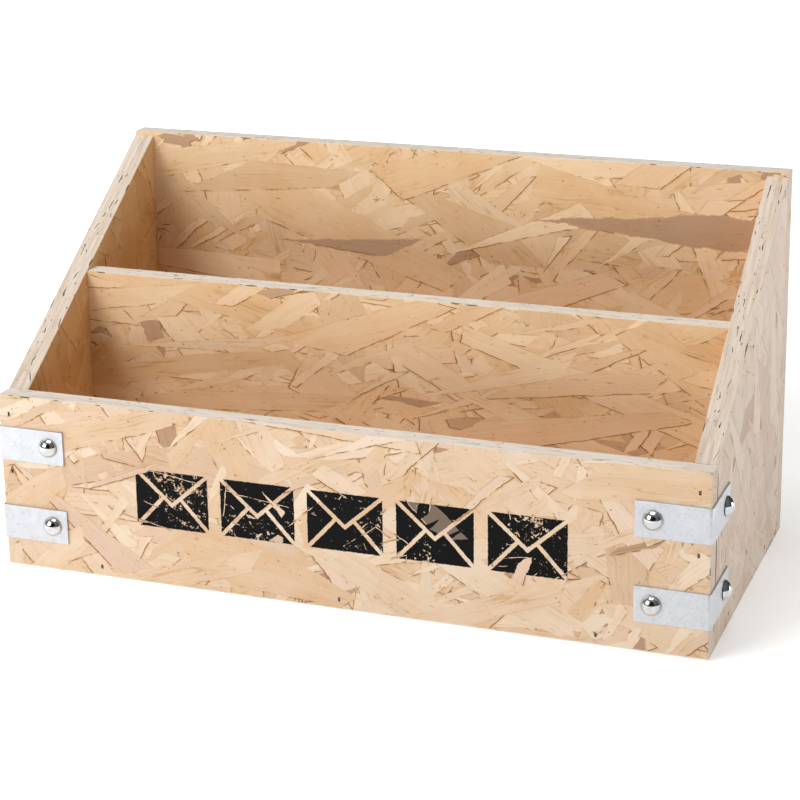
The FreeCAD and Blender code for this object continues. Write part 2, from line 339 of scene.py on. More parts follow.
def thin_line(tree, distance, width, peak=1.0):
    """Strongest where a distance is zero, and fading to nothing across a width."""
    faded = math_node(tree, "DIVIDE", unsigned(tree, distance), width)
    return math_node(tree, "SUBTRACT", peak, faded, clamp=True)


def ramp_up(tree, value, low, high, smooth=True):
    """0 below low, 1 above high."""
    kind = "SMOOTHSTEP" if smooth else "LINEAR"
    made = node(tree, "ShaderNodeMapRange", {"Value": value, "From Min": low, "From Max": high},
                interpolation_type=kind)
    return made.outputs["Result"]


def split_xyz(tree, vector):
    """The three parts of a vector, by name."""
    return node(tree, "ShaderNodeSeparateXYZ", [vector]).outputs


def join_xyz(tree, *parts):
    """A vector of three parts."""
    return node(tree, "ShaderNodeCombineXYZ", parts).outputs[0]


def same_xyz(tree, value):
    """A vector or grey with one value three times."""
    return join_xyz(tree, value, value, value)


def scaled(tree, vector, factors):
    """A vector stretched by its own factor each way."""
    return vector_node(tree, "MULTIPLY", vector, factors)


def turned_about_z(tree, vector, angle):
    """A vector turned about Z."""
    return node(tree, "ShaderNodeVectorRotate", {"Vector": vector, "Angle": angle},
                rotation_type="Z_AXIS").outputs[0]


def mix_colour(tree, factor, first, second, blend="MIX"):
    """Two colours mixed by a factor."""
    made = node(tree, "ShaderNodeMix", data_type="RGBA", blend_type=blend)
    for place, value in zip((0, 6, 7), (factor, first, second)):
        set_input(tree, made.inputs[place], value)
    return made.outputs[2]


def mix_vector(tree, factor, first, second):
    """Two vectors mixed by a factor."""
    made = node(tree, "ShaderNodeMix", data_type="VECTOR")
    for place, value in zip((0, 4, 5), (factor, first, second)):
        set_input(tree, made.inputs[place], value)
    return made.outputs[1]


def noise_node(tree, position, scale, detail=2.0, roughness=0.5, dimensions="3D"):
    """The outputs of a Noise Texture."""
    return node(tree, "ShaderNodeTexNoise",
                {"Vector": position, "Scale": scale, "Detail": detail, "Roughness": roughness},
                noise_dimensions=dimensions).outputs


def noise(*values):
    """The factor of a Noise Texture."""
    return noise_node(*values)[0]


def stretched_noise(tree, position, factors, detail=2.0, roughness=0.5):
    """Noise stretched by its own factor each way."""
    return noise(tree, scaled(tree, position, factors), 1.0, detail, roughness)


def cell_pattern(tree, position, scale, randomness=1.0, dimensions="3D"):
    """A Voronoi Texture's outputs: distance, a colour for each cell, and the cell's middle."""
    return node(tree, "ShaderNodeTexVoronoi",
                {"Vector": position, "Scale": scale, "Randomness": randomness},
                voronoi_dimensions=dimensions).outputs


def bumped(tree, strength, distance, height, normal=None):
    """The normal that a Bump node gives."""
    return node(tree, "ShaderNodeBump", {"Strength": strength, "Distance": distance, "Height": height,
                                         "Normal": normal}).outputs[0]


def object_place(tree):
    """Object coordinates."""
    return node(tree, "ShaderNodeTexCoord").outputs["Object"]


def colour_ramp(tree, factor, stops):
    """A colour ramp through (place, colour) stops."""
    made = node(tree, "ShaderNodeValToRGB", [factor])
    elements = made.color_ramp.elements
    for place, colour in stops[1:-1]:
        elements.new(place).color = (*colour, 1)
    for element, (place, colour) in zip(elements, stops):
        element.position = place
        element.color = (*colour, 1)
    return made.outputs[0]


def new_group(name, inputs, outputs):
    """A shader node group with named sockets: (name, kind, default) for each input."""
    tree = bpy.data.node_groups.new(name, "ShaderNodeTree")
    for label, kind, default in inputs:
        socket = tree.interface.new_socket(label, in_out="INPUT", socket_type=f"NodeSocket{kind}")
        socket.default_value = default
    for label, kind in outputs:
        tree.interface.new_socket(label, in_out="OUTPUT", socket_type=f"NodeSocket{kind}")
    return tree, tree.nodes.new("NodeGroupInput").outputs, tree.nodes.new("NodeGroupOutput").inputs


def use_group(tree, group, **inputs):
    """A group placed in a tree, its inputs by name with _ for a space."""
    made = tree.nodes.new("ShaderNodeGroup")
    made.node_tree = group
    set_inputs(tree, made.inputs, **inputs)
    return made.outputs


def new_material(name):
    """An empty node material, its tree and its shader's inputs."""
    material = bpy.data.materials.new(name)
    material.use_nodes = True
    tree = material.node_tree
    return material, tree, tree.nodes["Principled BSDF"].inputs


# ---------------------------------------------------------------- strand board shader

GREY = (0.5, 0.5, 0.5, 1)
# How strands differ: lean in radians, slant of their ends and taper of their sides.
STRAND_LEAN = 1.0
END_SLANT = 2.2
SIDE_TAPER = 0.24
# Half a strand's length and width as shares of its cell: how much they vary, and the least.
SHARE_SPREAD = (0.42, 0.36, 0)
LEAST_SHARE = (0.26, 0.16, 0)
SCATTER = 0.85
# The line round a strand: how far its outline blurs, how wide the line is and how much wider a strong one
# is, how far its painted shadow reaches, and how softly the painted shade turns to the lower side.
OUTLINE_BLUR = 0.2 * MM
LINE_WIDTH = 0.10 * MM
LINE_GAIN = 0.20 * MM
LINE_PEAK = 1.15
SHADOW_REACH = 1.2 * MM
LOWER_BLUR = 0.8 * MM
# Where a line is weak and where it is strong, and how much of that is the strand's own.
LINE_BREAKS = (0.57, 0.80)
OWN_BREAKS = 0.36
# Darkness as (gain, base): of a line and of a painted shadow by strength, and of both by side, the lower
# side taking more painted shade as if lit from above.
LINE_DARKNESS = (0.86, 0.14)
SHADOW_DARKNESS = (0.30, 0.07)
LOWER_SIDE_SHADE = (0.75, 0.25)
GRAIN_STEP = 9.0


def strand_layer_group():
    """One scatter of flat wood strands laid over what is below it, with their dark outlines and painted
    shadows.
    """
    tree, given, result = new_group("strand layer", [
        ("Position", "Vector", (0, 0, 0)),
        ("Turn", "Float", 0.0),
        ("Cell", "Vector", (0.08, 0.02, 1.0)),
        ("Amount", "Float", 1.0),
        ("Seed", "Vector", (0, 0, 0)),
        ("Breaks", "Float", 0.5),
        ("Fill", "Float", 0.0),
        ("Strand", "Color", GREY),
        ("Grain", "Vector", (0, 0, 0)),
        ("Crack", "Float", 0.0),
    ], [("Strand", "Color"), ("Grain", "Vector"), ("Crack", "Float")])
    turned = turned_about_z(tree, given["Position"], given["Turn"])
    cells = vector_node(tree, "ADD", vector_node(tree, "DIVIDE", turned, given["Cell"]), given["Seed"])
    scatter = cell_pattern(tree, cells, 1.0, SCATTER, "2D")
    own = scatter["Color"]
    picks = split_xyz(tree, own)
    from_middle = scaled(tree, vector_node(tree, "SUBTRACT", cells, scatter["Position"]), given["Cell"])
    place = split_xyz(tree, turned_about_z(tree, from_middle, either_way(tree, picks["X"], STRAND_LEAN)))
    share = vector_node(tree, "MULTIPLY_ADD", own, SHARE_SPREAD, LEAST_SHARE)
    half = split_xyz(tree, node(tree, "ShaderNodeVectorMath", {
        0: scaled(tree, share, given["Cell"]), "Scale": given["Amount"]}, operation="SCALE").outputs[0])
    along = times_plus(tree, place["Y"], either_way(tree, picks["Z"], END_SLANT), place["X"])
    taper = either_way(tree, picks["Y"], SIDE_TAPER)
    across = times_plus(tree, place["X"], taper, unsigned(tree, place["Y"]))
    inside = smaller(tree, less(tree, half["X"], unsigned(tree, along)), less(tree, half["Y"], across))
    cover = larger(tree, ramp_up(tree, inside, 0.0, OUTLINE_BLUR), given["Fill"])
    strength = ramp_up(tree, times_plus(tree, picks["Z"], OWN_BREAKS, given["Breaks"]), *LINE_BREAKS)
    line = thin_line(tree, inside, times_plus(tree, strength, LINE_GAIN, LINE_WIDTH), LINE_PEAK)
    # Painted shade: the line and the shadow are darker on a strand's lower side, as if lit from above.
    lower = opposite(tree, ramp_up(tree, place["Y"], -LOWER_BLUR, LOWER_BLUR))
    side = times_plus(tree, lower, *LOWER_SIDE_SHADE)
    drawn = times(tree, times(tree, line, times_plus(tree, strength, *LINE_DARKNESS)), side)
    # Painted shadow that the strand casts on the strands below it, just outside its outline.
    shadow = times(tree, ramp_up(tree, inside, -SHADOW_REACH, 0.0),
                   times_plus(tree, strength, *SHADOW_DARKNESS))
    shadow = times(tree, shadow, side)
    below = times(tree, larger(tree, given["Crack"], shadow), opposite(tree, cover))
    own_grain = join_xyz(tree, place["X"], place["Y"], times(tree, picks["Z"], GRAIN_STEP))
    set_inputs(tree, result,
               Strand=mix_colour(tree, cover, given["Strand"], own),
               Grain=mix_vector(tree, cover, given["Grain"], own_grain),
               Crack=larger(tree, drawn, below))
    return tree


# Layers of strands from the lowest up: turn in degrees, cell length and width in metres, share covered.
STRAND_LAYERS = (
    (35, 0.045, 0.014, 1.0),
    (-62, 0.060, 0.016, 1.0),
    (78, 0.055, 0.015, 0.9),
    (-20, 0.046, 0.010, 0.9),
    (15, 0.085, 0.022, 0.9),
    (-38, 0.095, 0.026, 0.85),
    (58, 0.060, 0.012, 0.8),
    (-8, 0.120, 0.030, 0.8),
    (64, 0.110, 0.026, 0.75),
    (-52, 0.060, 0.010, 0.65),
    (24, 0.150, 0.036, 0.75),
    (-28, 0.130, 0.028, 0.62),
)
# How far apart in the scatter two layers are.
LAYER_STEP = (3.7, 5.3)
# The lone strand: its picks, the blur of its outline, and the width and strength of its line.
LONE_PICKS = (0.99, 0.42, 0.30)
LONE_BLUR = 0.3 * MM
LONE_LINE = 0.4 * MM
LONE_PEAK = 0.6
# A place off every board, for a board with no lone strand.
FAR_AWAY = (9, 9, 0)


def lone_strand(tree, given, place, state):
    """One long dark strand, pointed at both ends, on top of all the others."""
    offset = vector_node(tree, "SUBTRACT", place, given["Brown Place"])
    reach = split_xyz(tree, vector_node(tree, "ABSOLUTE", offset))
    half = split_xyz(tree, given["Brown Half"])
    slope = math_node(tree, "DIVIDE", half["Y"], half["X"])
    inside = less(tree, less(tree, half["Y"], times(tree, reach["X"], slope)), reach["Y"])
    cover = ramp_up(tree, inside, 0.0, LONE_BLUR)
    line = thin_line(tree, inside, LONE_LINE, LONE_PEAK)
    return {
        "Strand": mix_colour(tree, cover, state["Strand"], LONE_PICKS),
        "Grain": mix_vector(tree, cover, state["Grain"], offset),
        "Crack": larger(tree, line, times(tree, state["Crack"], opposite(tree, cover))),
    }


# Patterns in the plane of the board, per metre.
RAGGED_SCALE = 70.0
BREAKS_SCALE = 120.0
BLOTCH_SCALE = 30.0
SPECK_SCALE = 95.0
# How far the outlines of the strands, and of the lone strand, wander.
RAGGED = (2.6 * MM, 2.6 * MM, 0)
LONE_RAGGED = (5.0 * MM, 5.0 * MM, 0)
# Patterns in a strand's own grain, per metre along and across it, and by strand.
FIBRES = (60, 1100, 1)
FIGURE = (10, 130, 1)
FLECKS = (330, 1100, 1)
KNOTS = (26, 62, 1.4)
# What a strand's warmth is made of: its figure, its own pick less a base, and the board's blotches.
FIGURE_WARMTH = 0.30
OWN_WARMTH = (0.56, -0.34)
BLOTCH_WARMTH = 0.66
WARM_RANGE = (0.12, 0.80)
# Where a strand's own pick makes it rosy, brown or tan, and how strongly.
ROSY_RANGE, ROSY = (0.60, 0.95), 0.55
BROWN_RANGE, BROWN = (0.955, 0.965), 0.72
TAN_RANGE, TAN = (0.80, 0.81), 0.13
# The fibres' streaks and roughness as (gain, base).
STREAKS = (0.26, 0.87)
FIBRE_ROUGHNESS = (0.25, 0.45)
STRAND_TILT = 0.13
# Where marks begin and are full, and how dark each is as a share of the deepest crack.
SPECK_SIZE = (0.16, -0.11)
SPECK_BLUR = 0.02
FLECK_RANGE = (0.64, 0.70)
FLECK_PATCHES = (0.48, 0.60)
KNOT_CHOICE = (0.90, 0.91)
KNOT_RANGE = (0.05, 0.30)
SPLIT_WIDTH = 0.014
SPLIT_PATCHES = (0.42, 0.66)
SPECK_DARK, FLECK_DARK, SPLIT_DARK, KNOT_DARK = 0.7, 0.50, 0.30, 0.62
# What the wood's colour is multiplied by, from open wood to the bottom of a crack; the same shades paint
# the shadows that strands cast on those below them.
CRACK_AND_SHADOW_SHADES = (
    (0.0, (1.0, 1.0, 1.0)),
    (0.35, (0.80, 0.69, 0.52)),
    (0.70, (0.45, 0.32, 0.19)),
    (1.0, (0.19, 0.125, 0.065)),
)


def strand_tones(tree, given, pick, figure, fibres, blotch):
    """The strands' colours with their streaks, before any crack or mark."""
    level = times_plus(tree, figure, FIGURE_WARMTH, times_plus(tree, pick["Y"], *OWN_WARMTH))
    level = times_plus(tree, blotch, BLOTCH_WARMTH, level)
    wood = mix_colour(tree, ramp_up(tree, level, *WARM_RANGE, smooth=False), given["Pale"], given["Warm"])
    rosy = mix_colour(tree, times(tree, ramp_up(tree, pick["Z"], *ROSY_RANGE), ROSY), wood, given["Rosy"])
    brown = times(tree, ramp_up(tree, pick["X"], *BROWN_RANGE), BROWN)
    tan = times(tree, ramp_up(tree, pick["X"], *TAN_RANGE), TAN)
    stained = mix_colour(tree, larger(tree, brown, tan), rosy, given["Brown"])
    return mix_colour(tree, 1.0, stained, same_xyz(tree, times_plus(tree, fibres, *STREAKS)), "MULTIPLY")


def strand_marks(tree, grain, place, figure, breaks, blotch):
    """Specks, flecks, splits along the grain and knots, by their darkness."""
    dots = cell_pattern(tree, place, SPECK_SCALE, 1.0, "2D")
    size = times_plus(tree, split_xyz(tree, dots["Color"])["X"], *SPECK_SIZE)
    speck = ramp_up(tree, less(tree, size, dots["Distance"]), 0.0, SPECK_BLUR)
    fleck = times(tree, ramp_up(tree, stretched_noise(tree, grain, FLECKS), *FLECK_RANGE),
                  ramp_up(tree, breaks, *FLECK_PATCHES))
    split = times(tree, thin_line(tree, less(tree, figure, 0.5), SPLIT_WIDTH),
                  ramp_up(tree, blotch, *SPLIT_PATCHES))
    rings = cell_pattern(tree, scaled(tree, grain, KNOTS), 1.0)
    knot = times(tree, ramp_up(tree, split_xyz(tree, rings["Color"])["X"], *KNOT_CHOICE),
                 opposite(tree, ramp_up(tree, rings["Distance"], *KNOT_RANGE)))
    marks = times(tree, speck, SPECK_DARK)
    for mark, darkness in ((fleck, FLECK_DARK), (split, SPLIT_DARK), (knot, KNOT_DARK)):
        marks = larger(tree, marks, times(tree, mark, darkness))
    return marks


def strand_board_group(layer):
    """Pressed strands: colour, roughness, a small tilt for each strand, and cracks, marks and painted
    shadows.
    """
    tree, given, result = new_group("strand board", [
        ("Position", "Vector", (0, 0, 0)),
        ("Seed", "Float", 0.0),
        ("Turn", "Float", 0.0),
        ("Squeeze", "Vector", (1, 1, 1)),
        ("Crack Strength", "Float", 1.0),
        ("Pale", "Color", (0.86, 0.64, 0.47, 1)),
        ("Warm", "Color", (0.68, 0.42, 0.24, 1)),
        ("Rosy", "Color", (0.80, 0.53, 0.39, 1)),
        ("Brown", "Color", (0.40, 0.22, 0.125, 1)),
        ("Brown Place", "Vector", FAR_AWAY),
        ("Brown Half", "Vector", (0.05, 0.01, 0)),
    ], [("Color", "Color"), ("Bare", "Color"), ("Rough", "Float"), ("Tilt", "Vector"), ("Depth", "Float"),
        ("Strand", "Color")])
    turned = turned_about_z(tree, scaled(tree, given["Position"], (1, 1, 0)), given["Turn"])
    moved = join_xyz(tree, given["Seed"], given["Seed"], 0.0)
    place = vector_node(tree, "MULTIPLY_ADD", turned, given["Squeeze"], moved)
    wander = noise_node(tree, place, RAGGED_SCALE, 4.0, 0.7, "2D")["Color"]
    wobble = vector_node(tree, "SUBTRACT", wander, GREY[:3])
    ragged = vector_node(tree, "MULTIPLY_ADD", wobble, RAGGED, place)
    breaks = noise(tree, place, BREAKS_SCALE, 2.0, 0.6, "2D")
    state = {"Strand": None, "Grain": None, "Crack": None}
    for number, (turn, length, width, amount) in enumerate(STRAND_LAYERS):
        outputs = use_group(tree, layer, Position=ragged, Turn=math.radians(turn),
                            Cell=(length, width, 1.0), Amount=amount,
                            Seed=(number * LAYER_STEP[0], number * LAYER_STEP[1], 0),
                            Breaks=breaks, Fill=1.0 if number == 0 else 0.0, **state)
        state = {name: outputs[name] for name in state}
    lone_place = vector_node(tree, "ADD", turned, scaled(tree, wobble, LONE_RAGGED))
    state = lone_strand(tree, given, lone_place, state)
    grain = state["Grain"]
    fibres = stretched_noise(tree, grain, FIBRES, 3.0, 0.65)
    figure = stretched_noise(tree, grain, FIGURE)
    blotch = noise(tree, place, BLOTCH_SCALE, 4.0, 0.6, "2D")
    bare = strand_tones(tree, given, split_xyz(tree, state["Strand"]), figure, fibres, blotch)
    marks = strand_marks(tree, grain, place, figure, breaks, blotch)
    # The dark lines round the strands and their painted shadows, with the marks, as one darkness.
    depth = larger(tree, times(tree, state["Crack"], given["Crack Strength"]), marks)
    shade = colour_ramp(tree, depth, CRACK_AND_SHADOW_SHADES)
    tilt = vector_node(tree, "SUBTRACT", state["Strand"], GREY[:3])
    set_inputs(tree, result,
               Color=mix_colour(tree, 1.0, bare, shade, "MULTIPLY"),
               Bare=bare,
               Rough=times_plus(tree, fibres, *FIBRE_ROUGHNESS),
               Tilt=scaled(tree, tilt, (STRAND_TILT, STRAND_TILT, STRAND_TILT)),
               Depth=depth,
               Strand=state["Strand"])
    return tree


# Patterns of a sawn edge, per metre along it both ways and through the board's thickness.
THIN_LAYERS = (60, 60, 1100)
THICK_LAYERS = (22, 22, 420)
EDGE_GAPS = (230, 230, 1000)
GLUE_LINES = (90, 90, 700)
# What makes an edge warm, and where glue and the voids' painted shade begin and are full.
THICK_WARMTH = 0.6
THIN_WARMTH = 0.5
EDGE_WARM_RANGE = (0.42, 0.78)
GLUE_RANGE, GLUE = (0.60, 0.70), 0.55
GLUE_COLOUR = (0.42, 0.27, 0.16)
GAP_RANGE, GAP_SHADE = (0.68, 0.72), 0.9
GAP_SHADE_COLOUR = (0.045, 0.028, 0.018)
EDGE_ROUGHNESS = (0.2, 0.62)
LAYER_HEIGHT = 0.35


def cut_edge_group():
    """The sawn edge of a strand board: thin layers, with open voids between them painted dark as shade."""
    tree, given, result = new_group("cut edge", [
        ("Position", "Vector", (0, 0, 0)),
        ("Pale", "Color", (0.79, 0.68, 0.57, 1)),
        ("Warm", "Color", (0.63, 0.48, 0.35, 1)),
    ], [("Color", "Color"), ("Rough", "Float"), ("Height", "Float")])
    layers = stretched_noise(tree, given["Position"], THIN_LAYERS, 3.0, 0.6)
    bands = stretched_noise(tree, given["Position"], THICK_LAYERS)
    gaps = stretched_noise(tree, given["Position"], EDGE_GAPS, 2.0, 0.55)
    glue = stretched_noise(tree, given["Position"], GLUE_LINES, 2.0, 0.6)
    level = times_plus(tree, bands, THICK_WARMTH, times(tree, layers, THIN_WARMTH))
    wood = mix_colour(tree, ramp_up(tree, level, *EDGE_WARM_RANGE), given["Pale"], given["Warm"])
    wood = mix_colour(tree, times(tree, ramp_up(tree, glue, *GLUE_RANGE), GLUE), wood, GLUE_COLOUR)
    # Voids: painted dark as shade in the colour, and sunk in the bump.
    shaded_void = ramp_up(tree, gaps, *GAP_RANGE)
    set_inputs(tree, result,
               Color=mix_colour(tree, times(tree, shaded_void, GAP_SHADE), wood, GAP_SHADE_COLOUR),
               Rough=times_plus(tree, layers, *EDGE_ROUGHNESS),
               Height=less(tree, times(tree, layers, LAYER_HEIGHT), shaded_void))
    return tree


# The row of envelopes, in metres in the plane of the front board.
ENVELOPES = 5
ENVELOPE = (0.0355, 0.0270)
ENVELOPE_PITCH = 0.0415
PRINT_MIDDLE = (0.0035, 0.0415)
FLAP_POINT = Vector((0, -0.0022))
FOLD_END = Vector((0.0048, 0.0006))
FOLD_GAP = 0.8 * MM
# The ink's edge: how far it wanders and blurs.
INK_WANDER = 0.7 * MM
INK_BLUR = 0.18 * MM
# Wear: patterns per metre, how much rubbing counts, how much wear grows per metre from the middle, and
# where it has taken the ink off.
EDGE_GRIT, RUB_SCALE, SPECKLE_SCALE = 900.0, 26.0, 520.0
RUBBING = 0.62
WEAR_OUTWARDS = 0.9
WORN_OFF = (1.0, 1.05)
# Low strands that the stencil missed, and cracks too deep for the ink.
LOW_STRANDS = (0.975, 0.98)
DEEP_CRACKS = (0.42, 0.62)


def line_distance(tree, x_place, z_place, start, end):
    """Signed distance from the line through two points."""
    run = (end - start).normalized()
    normal = Vector((-run.y, run.x))
    flat = times_plus(tree, x_place, normal.x, -normal.dot(start))
    return times_plus(tree, z_place, normal.y, flat)


def envelope_print_group():
    """A row of stencilled envelopes: each a plate cut by its flap lines, with worn ink."""
    tree, given, result = new_group("envelope print", [
        ("Position", "Vector", (0, 0, 0)),
        ("Strand", "Color", GREY),
        ("Depth", "Float", 0.0),
    ], [("Print", "Float"), ("Missing", "Float")])
    place = split_xyz(tree, given["Position"])
    row = less(tree, place["X"], PRINT_MIDDLE[0])
    last = (ENVELOPES - 1) / 2
    index = math_node(tree, "ROUND", math_node(tree, "DIVIDE", row, ENVELOPE_PITCH))
    index = smaller(tree, larger(tree, index, -last), last)
    own_x = unsigned(tree, times_plus(tree, index, -ENVELOPE_PITCH, row))
    own_z = less(tree, place["Y"], PRINT_MIDDLE[1])
    half_x, half_z = ENVELOPE[0] / 2, ENVELOPE[1] / 2
    sheet = smaller(tree, less(tree, half_x, own_x), less(tree, half_z, unsigned(tree, own_z)))
    flap = line_distance(tree, own_x, own_z, FLAP_POINT, Vector((half_x, half_z)))
    fold = line_distance(tree, own_x, own_z, Vector((half_x, -half_z)), FOLD_END)
    flap_gap = less(tree, unsigned(tree, flap), FOLD_GAP)
    fold_gap = larger(tree, less(tree, unsigned(tree, fold), FOLD_GAP), flap)
    shape = smaller(tree, sheet, smaller(tree, flap_gap, fold_gap))
    grit = noise(tree, given["Position"], EDGE_GRIT, 2.0, 0.6)
    shape = math_node(tree, "ADD", shape, either_way(tree, grit, INK_WANDER))
    rubbed = noise(tree, given["Position"], RUB_SCALE)
    speckle = noise(tree, given["Position"], SPECKLE_SCALE, 3.0, 0.75)
    ends = times(tree, unsigned(tree, row), WEAR_OUTWARDS)
    worn = times_plus(tree, rubbed, RUBBING, math_node(tree, "ADD", speckle, ends))
    low_strand = ramp_up(tree, split_xyz(tree, given["Strand"])["Z"], *LOW_STRANDS)
    unreached = larger(tree, low_strand, ramp_up(tree, given["Depth"], *DEEP_CRACKS))
    set_inputs(tree, result,
               Print=ramp_up(tree, shape, 0.0, INK_BLUR),
               Missing=larger(tree, ramp_up(tree, worn, *WORN_OFF), unreached))
    return tree


# ---------------------------------------------------------------- strand board materials

# Pale, warm and rosy wood of the four kinds of face, each with its light painted in: plainly lit outside,
# warm painted bounce light inside, deeper orange painted shade on the sides' inner faces, and a paler,
# greyer painted wash of light on the sides' outer faces and the underside.
OUTSIDE_LIT = ((0.82, 0.665, 0.505), (0.69, 0.46, 0.275), (0.75, 0.53, 0.405))
INSIDE_BOUNCE_LIT = ((0.90, 0.68, 0.445), (0.76, 0.485, 0.245), (0.80, 0.54, 0.33))
DEEP_BOUNCE_SHADE = ((0.89, 0.60, 0.305), (0.75, 0.42, 0.16), (0.80, 0.475, 0.23))
WASHED_OUT_LIT = ((0.77, 0.65, 0.545), (0.66, 0.52, 0.405), (0.71, 0.565, 0.485))
# The tones of each board's two faces, the one towards the back, the left or the floor first.
FACE_LIGHT_TONES = {
    "front_panel": (INSIDE_BOUNCE_LIT, OUTSIDE_LIT),
    "back_panel": (OUTSIDE_LIT, INSIDE_BOUNCE_LIT),
    "left_side_panel": (WASHED_OUT_LIT, DEEP_BOUNCE_SHADE),
    "right_side_panel": (DEEP_BOUNCE_SHADE, WASHED_OUT_LIT),
    "divider_panel": (INSIDE_BOUNCE_LIT, INSIDE_BOUNCE_LIT),
    "bottom_panel": (WASHED_OUT_LIT, INSIDE_BOUNCE_LIT),
}
# Pale and warm wood of the sawn edges: greyer, browner ones on the sides and the boards' ends, and paler
# ones on the other boards' edges, which mostly face up: a paler cut with painted top light.
SIDE_EDGE = ((0.75, 0.64, 0.535), (0.58, 0.445, 0.325))
PALE_TOP_LIT_EDGE = ((0.86, 0.79, 0.70), (0.74, 0.64, 0.53))
# Boards whose strands lie mostly lengthways: how the pattern is squeezed along and across.
SQUEEZE = {
    "front_panel": (0.90, 1.25, 1),
    "back_panel": (0.90, 1.25, 1),
    "divider_panel": (0.75, 1.50, 1),
}
# On the sides the strands stand nearly upright, and their cracks and painted shadows are fainter.
UPRIGHT = math.radians(84)
FAINT_CRACKS_AND_SHADOWS = 0.55
# How far apart in the pattern two boards, and a board's two faces, are.
BOARD_STEP = 1.7
FACE_STEP = 3.1
# The long brown strand on the back board's inner face: its middle, and half its length and width.
BROWN_PLACE = (0.135, 0.1455, 0)
BROWN_HALF = (0.090, 0.0085, 0)
INK = (0.004, 0.004, 0.0045)
# Gloss of a printed and a plain board.
PRINTED_SPECULAR = 0.1
PLAIN_SPECULAR = 0.3
# The fuzz of a face, and strength and distance of its bump and of a sawn edge's.
FUZZ_SCALE = 1500.0
FACE_BUMP = (0.35, 0.1 * MM)
EDGE_BUMP = (0.6, 0.4 * MM)
# The shade painted inside voids, chips, slits, gaps and brad recesses: the scale of its pattern and its dark
# colours.
VOID_SCALE = 1800.0
VOID_PAINTED_SHADE = ((0.3, (0.055, 0.032, 0.02)), (0.7, (0.21, 0.13, 0.075)))


def board_turn(axis):
    """Turn that brings a board's face to X and Y and its thickness to Z."""
    rows = {
        "X": Matrix(((0, 1, 0), (0, 0, 1), (1, 0, 0))),
        "Y": Matrix(((1, 0, 0), (0, 0, 1), (0, -1, 0))),
        "Z": Matrix.Identity(3),
    }
    return rows[axis]


def board_position(tree, axis, middle):
    """Object coordinates turned into the board's own, from the middle of its thickness."""
    turn = board_turn(axis)
    return node(tree, "ShaderNodeMapping", {
        "Vector": object_place(tree), "Rotation": turn.to_euler("XYZ"),
        "Location": -(turn @ (AXES[axis] * middle))}).outputs[0]


def face_light_tones(tree, name, above):
    """The wood of a board's two faces with their painted light, mixed by which face it is."""
    return {label: mix_colour(tree, above, low, high)
            for label, low, high in zip(("Pale", "Warm", "Rosy"), *FACE_LIGHT_TONES[name])}


def face_material(name, axis, middle, seed, groups):
    """The face of a strand board; its two faces show different strands."""
    material, tree, shader = new_material(f"{name} strands")
    printed = name == "front_panel"
    position = board_position(tree, axis, middle)
    above = math_node(tree, "GREATER_THAN", split_xyz(tree, position)["Z"], 0.0)
    extra = {}
    if name == "back_panel":
        extra = {"Brown_Place": mix_vector(tree, above, FAR_AWAY, BROWN_PLACE), "Brown_Half": BROWN_HALF}
    board = use_group(tree, groups["board"], Position=position,
                      Seed=times_plus(tree, above, FACE_STEP, seed),
                      Turn=UPRIGHT if axis == "X" else 0.0, Squeeze=SQUEEZE.get(name, (1, 1, 1)),
                      Crack_Strength=FAINT_CRACKS_AND_SHADOWS if axis == "X" else 1.0,
                      **face_light_tones(tree, name, above), **extra)
    colour = board["Color"]
    if printed:
        ink = use_group(tree, groups["print"], Position=position, Strand=board["Strand"],
                        Depth=board["Depth"])
        inked = mix_colour(tree, ink["Missing"], INK, board["Bare"])
        colour = mix_colour(tree, times(tree, ink["Print"], above), colour, inked)
    facing = node(tree, "ShaderNodeNewGeometry").outputs["Normal"]
    tilted = vector_node(tree, "NORMALIZE", vector_node(tree, "ADD", facing, board["Tilt"]))
    fuzz = noise(tree, position, FUZZ_SCALE, 2.0, 0.6)
    set_inputs(tree, shader, Base_Color=colour, Roughness=board["Rough"],
               Specular_IOR_Level=PRINTED_SPECULAR if printed else PLAIN_SPECULAR,
               Normal=bumped(tree, *FACE_BUMP, fuzz, tilted))
    return material


def edge_material(name, axis, middle, groups, tones):
    """The sawn edges of a board."""
    material, tree, shader = new_material(name)
    pale, warm = tones
    edge = use_group(tree, groups["edge"], Position=board_position(tree, axis, middle), Pale=pale,
                     Warm=warm)
    set_inputs(tree, shader, Base_Color=edge["Color"], Roughness=edge["Rough"],
               Normal=bumped(tree, *EDGE_BUMP, edge["Height"]))
    return material


def void_shade_material():
    """The inside of a void or chip, painted dark as shade."""
    material, tree, shader = new_material("open void")
    shade = noise(tree, object_place(tree), VOID_SCALE)
    set_inputs(tree, shader, Base_Color=colour_ramp(tree, shade, VOID_PAINTED_SHADE), Roughness=0.85)
    return material


# ---------------------------------------------------------------- boards

# The cutter that voids and chips are copies of.
PEBBLE_ROUGHNESS = 0.06
PEBBLE_SEED = 31
# Chips on a corner: length, width and depth in millimetres, each the least and the most.
CHIP_LENGTH = (1.2, 7.2)
CHIP_WIDTH = (0.5, 1.3)
CHIP_DEPTH = (0.4, 0.9)
CHIP_SIZE = (0.25, 1.0)
# Voids in a sawn edge: how they spread over half the thickness, their lean in radians, the square root of
# their length, and their width and depth, in millimetres.
VOID_SPREAD = 0.42
VOID_LIMIT = 0.86
VOID_RUN = 0.97
VOID_LEAN = 0.16
VOID_ROOT = (0.8, 2.6)
VOID_WIDTH = (0.2, 0.6)
VOID_DEPTH = (0.7, 1.8)
# Slits in a side's faces: lean in radians; length, width and depth in millimetres.
SLIT_LEAN = 0.22
SLIT_LENGTH = (2.0, 9.0)
SLIT_WIDTH = (0.22, 0.5)
SLIT_DEPTH = (0.5, 1.0)
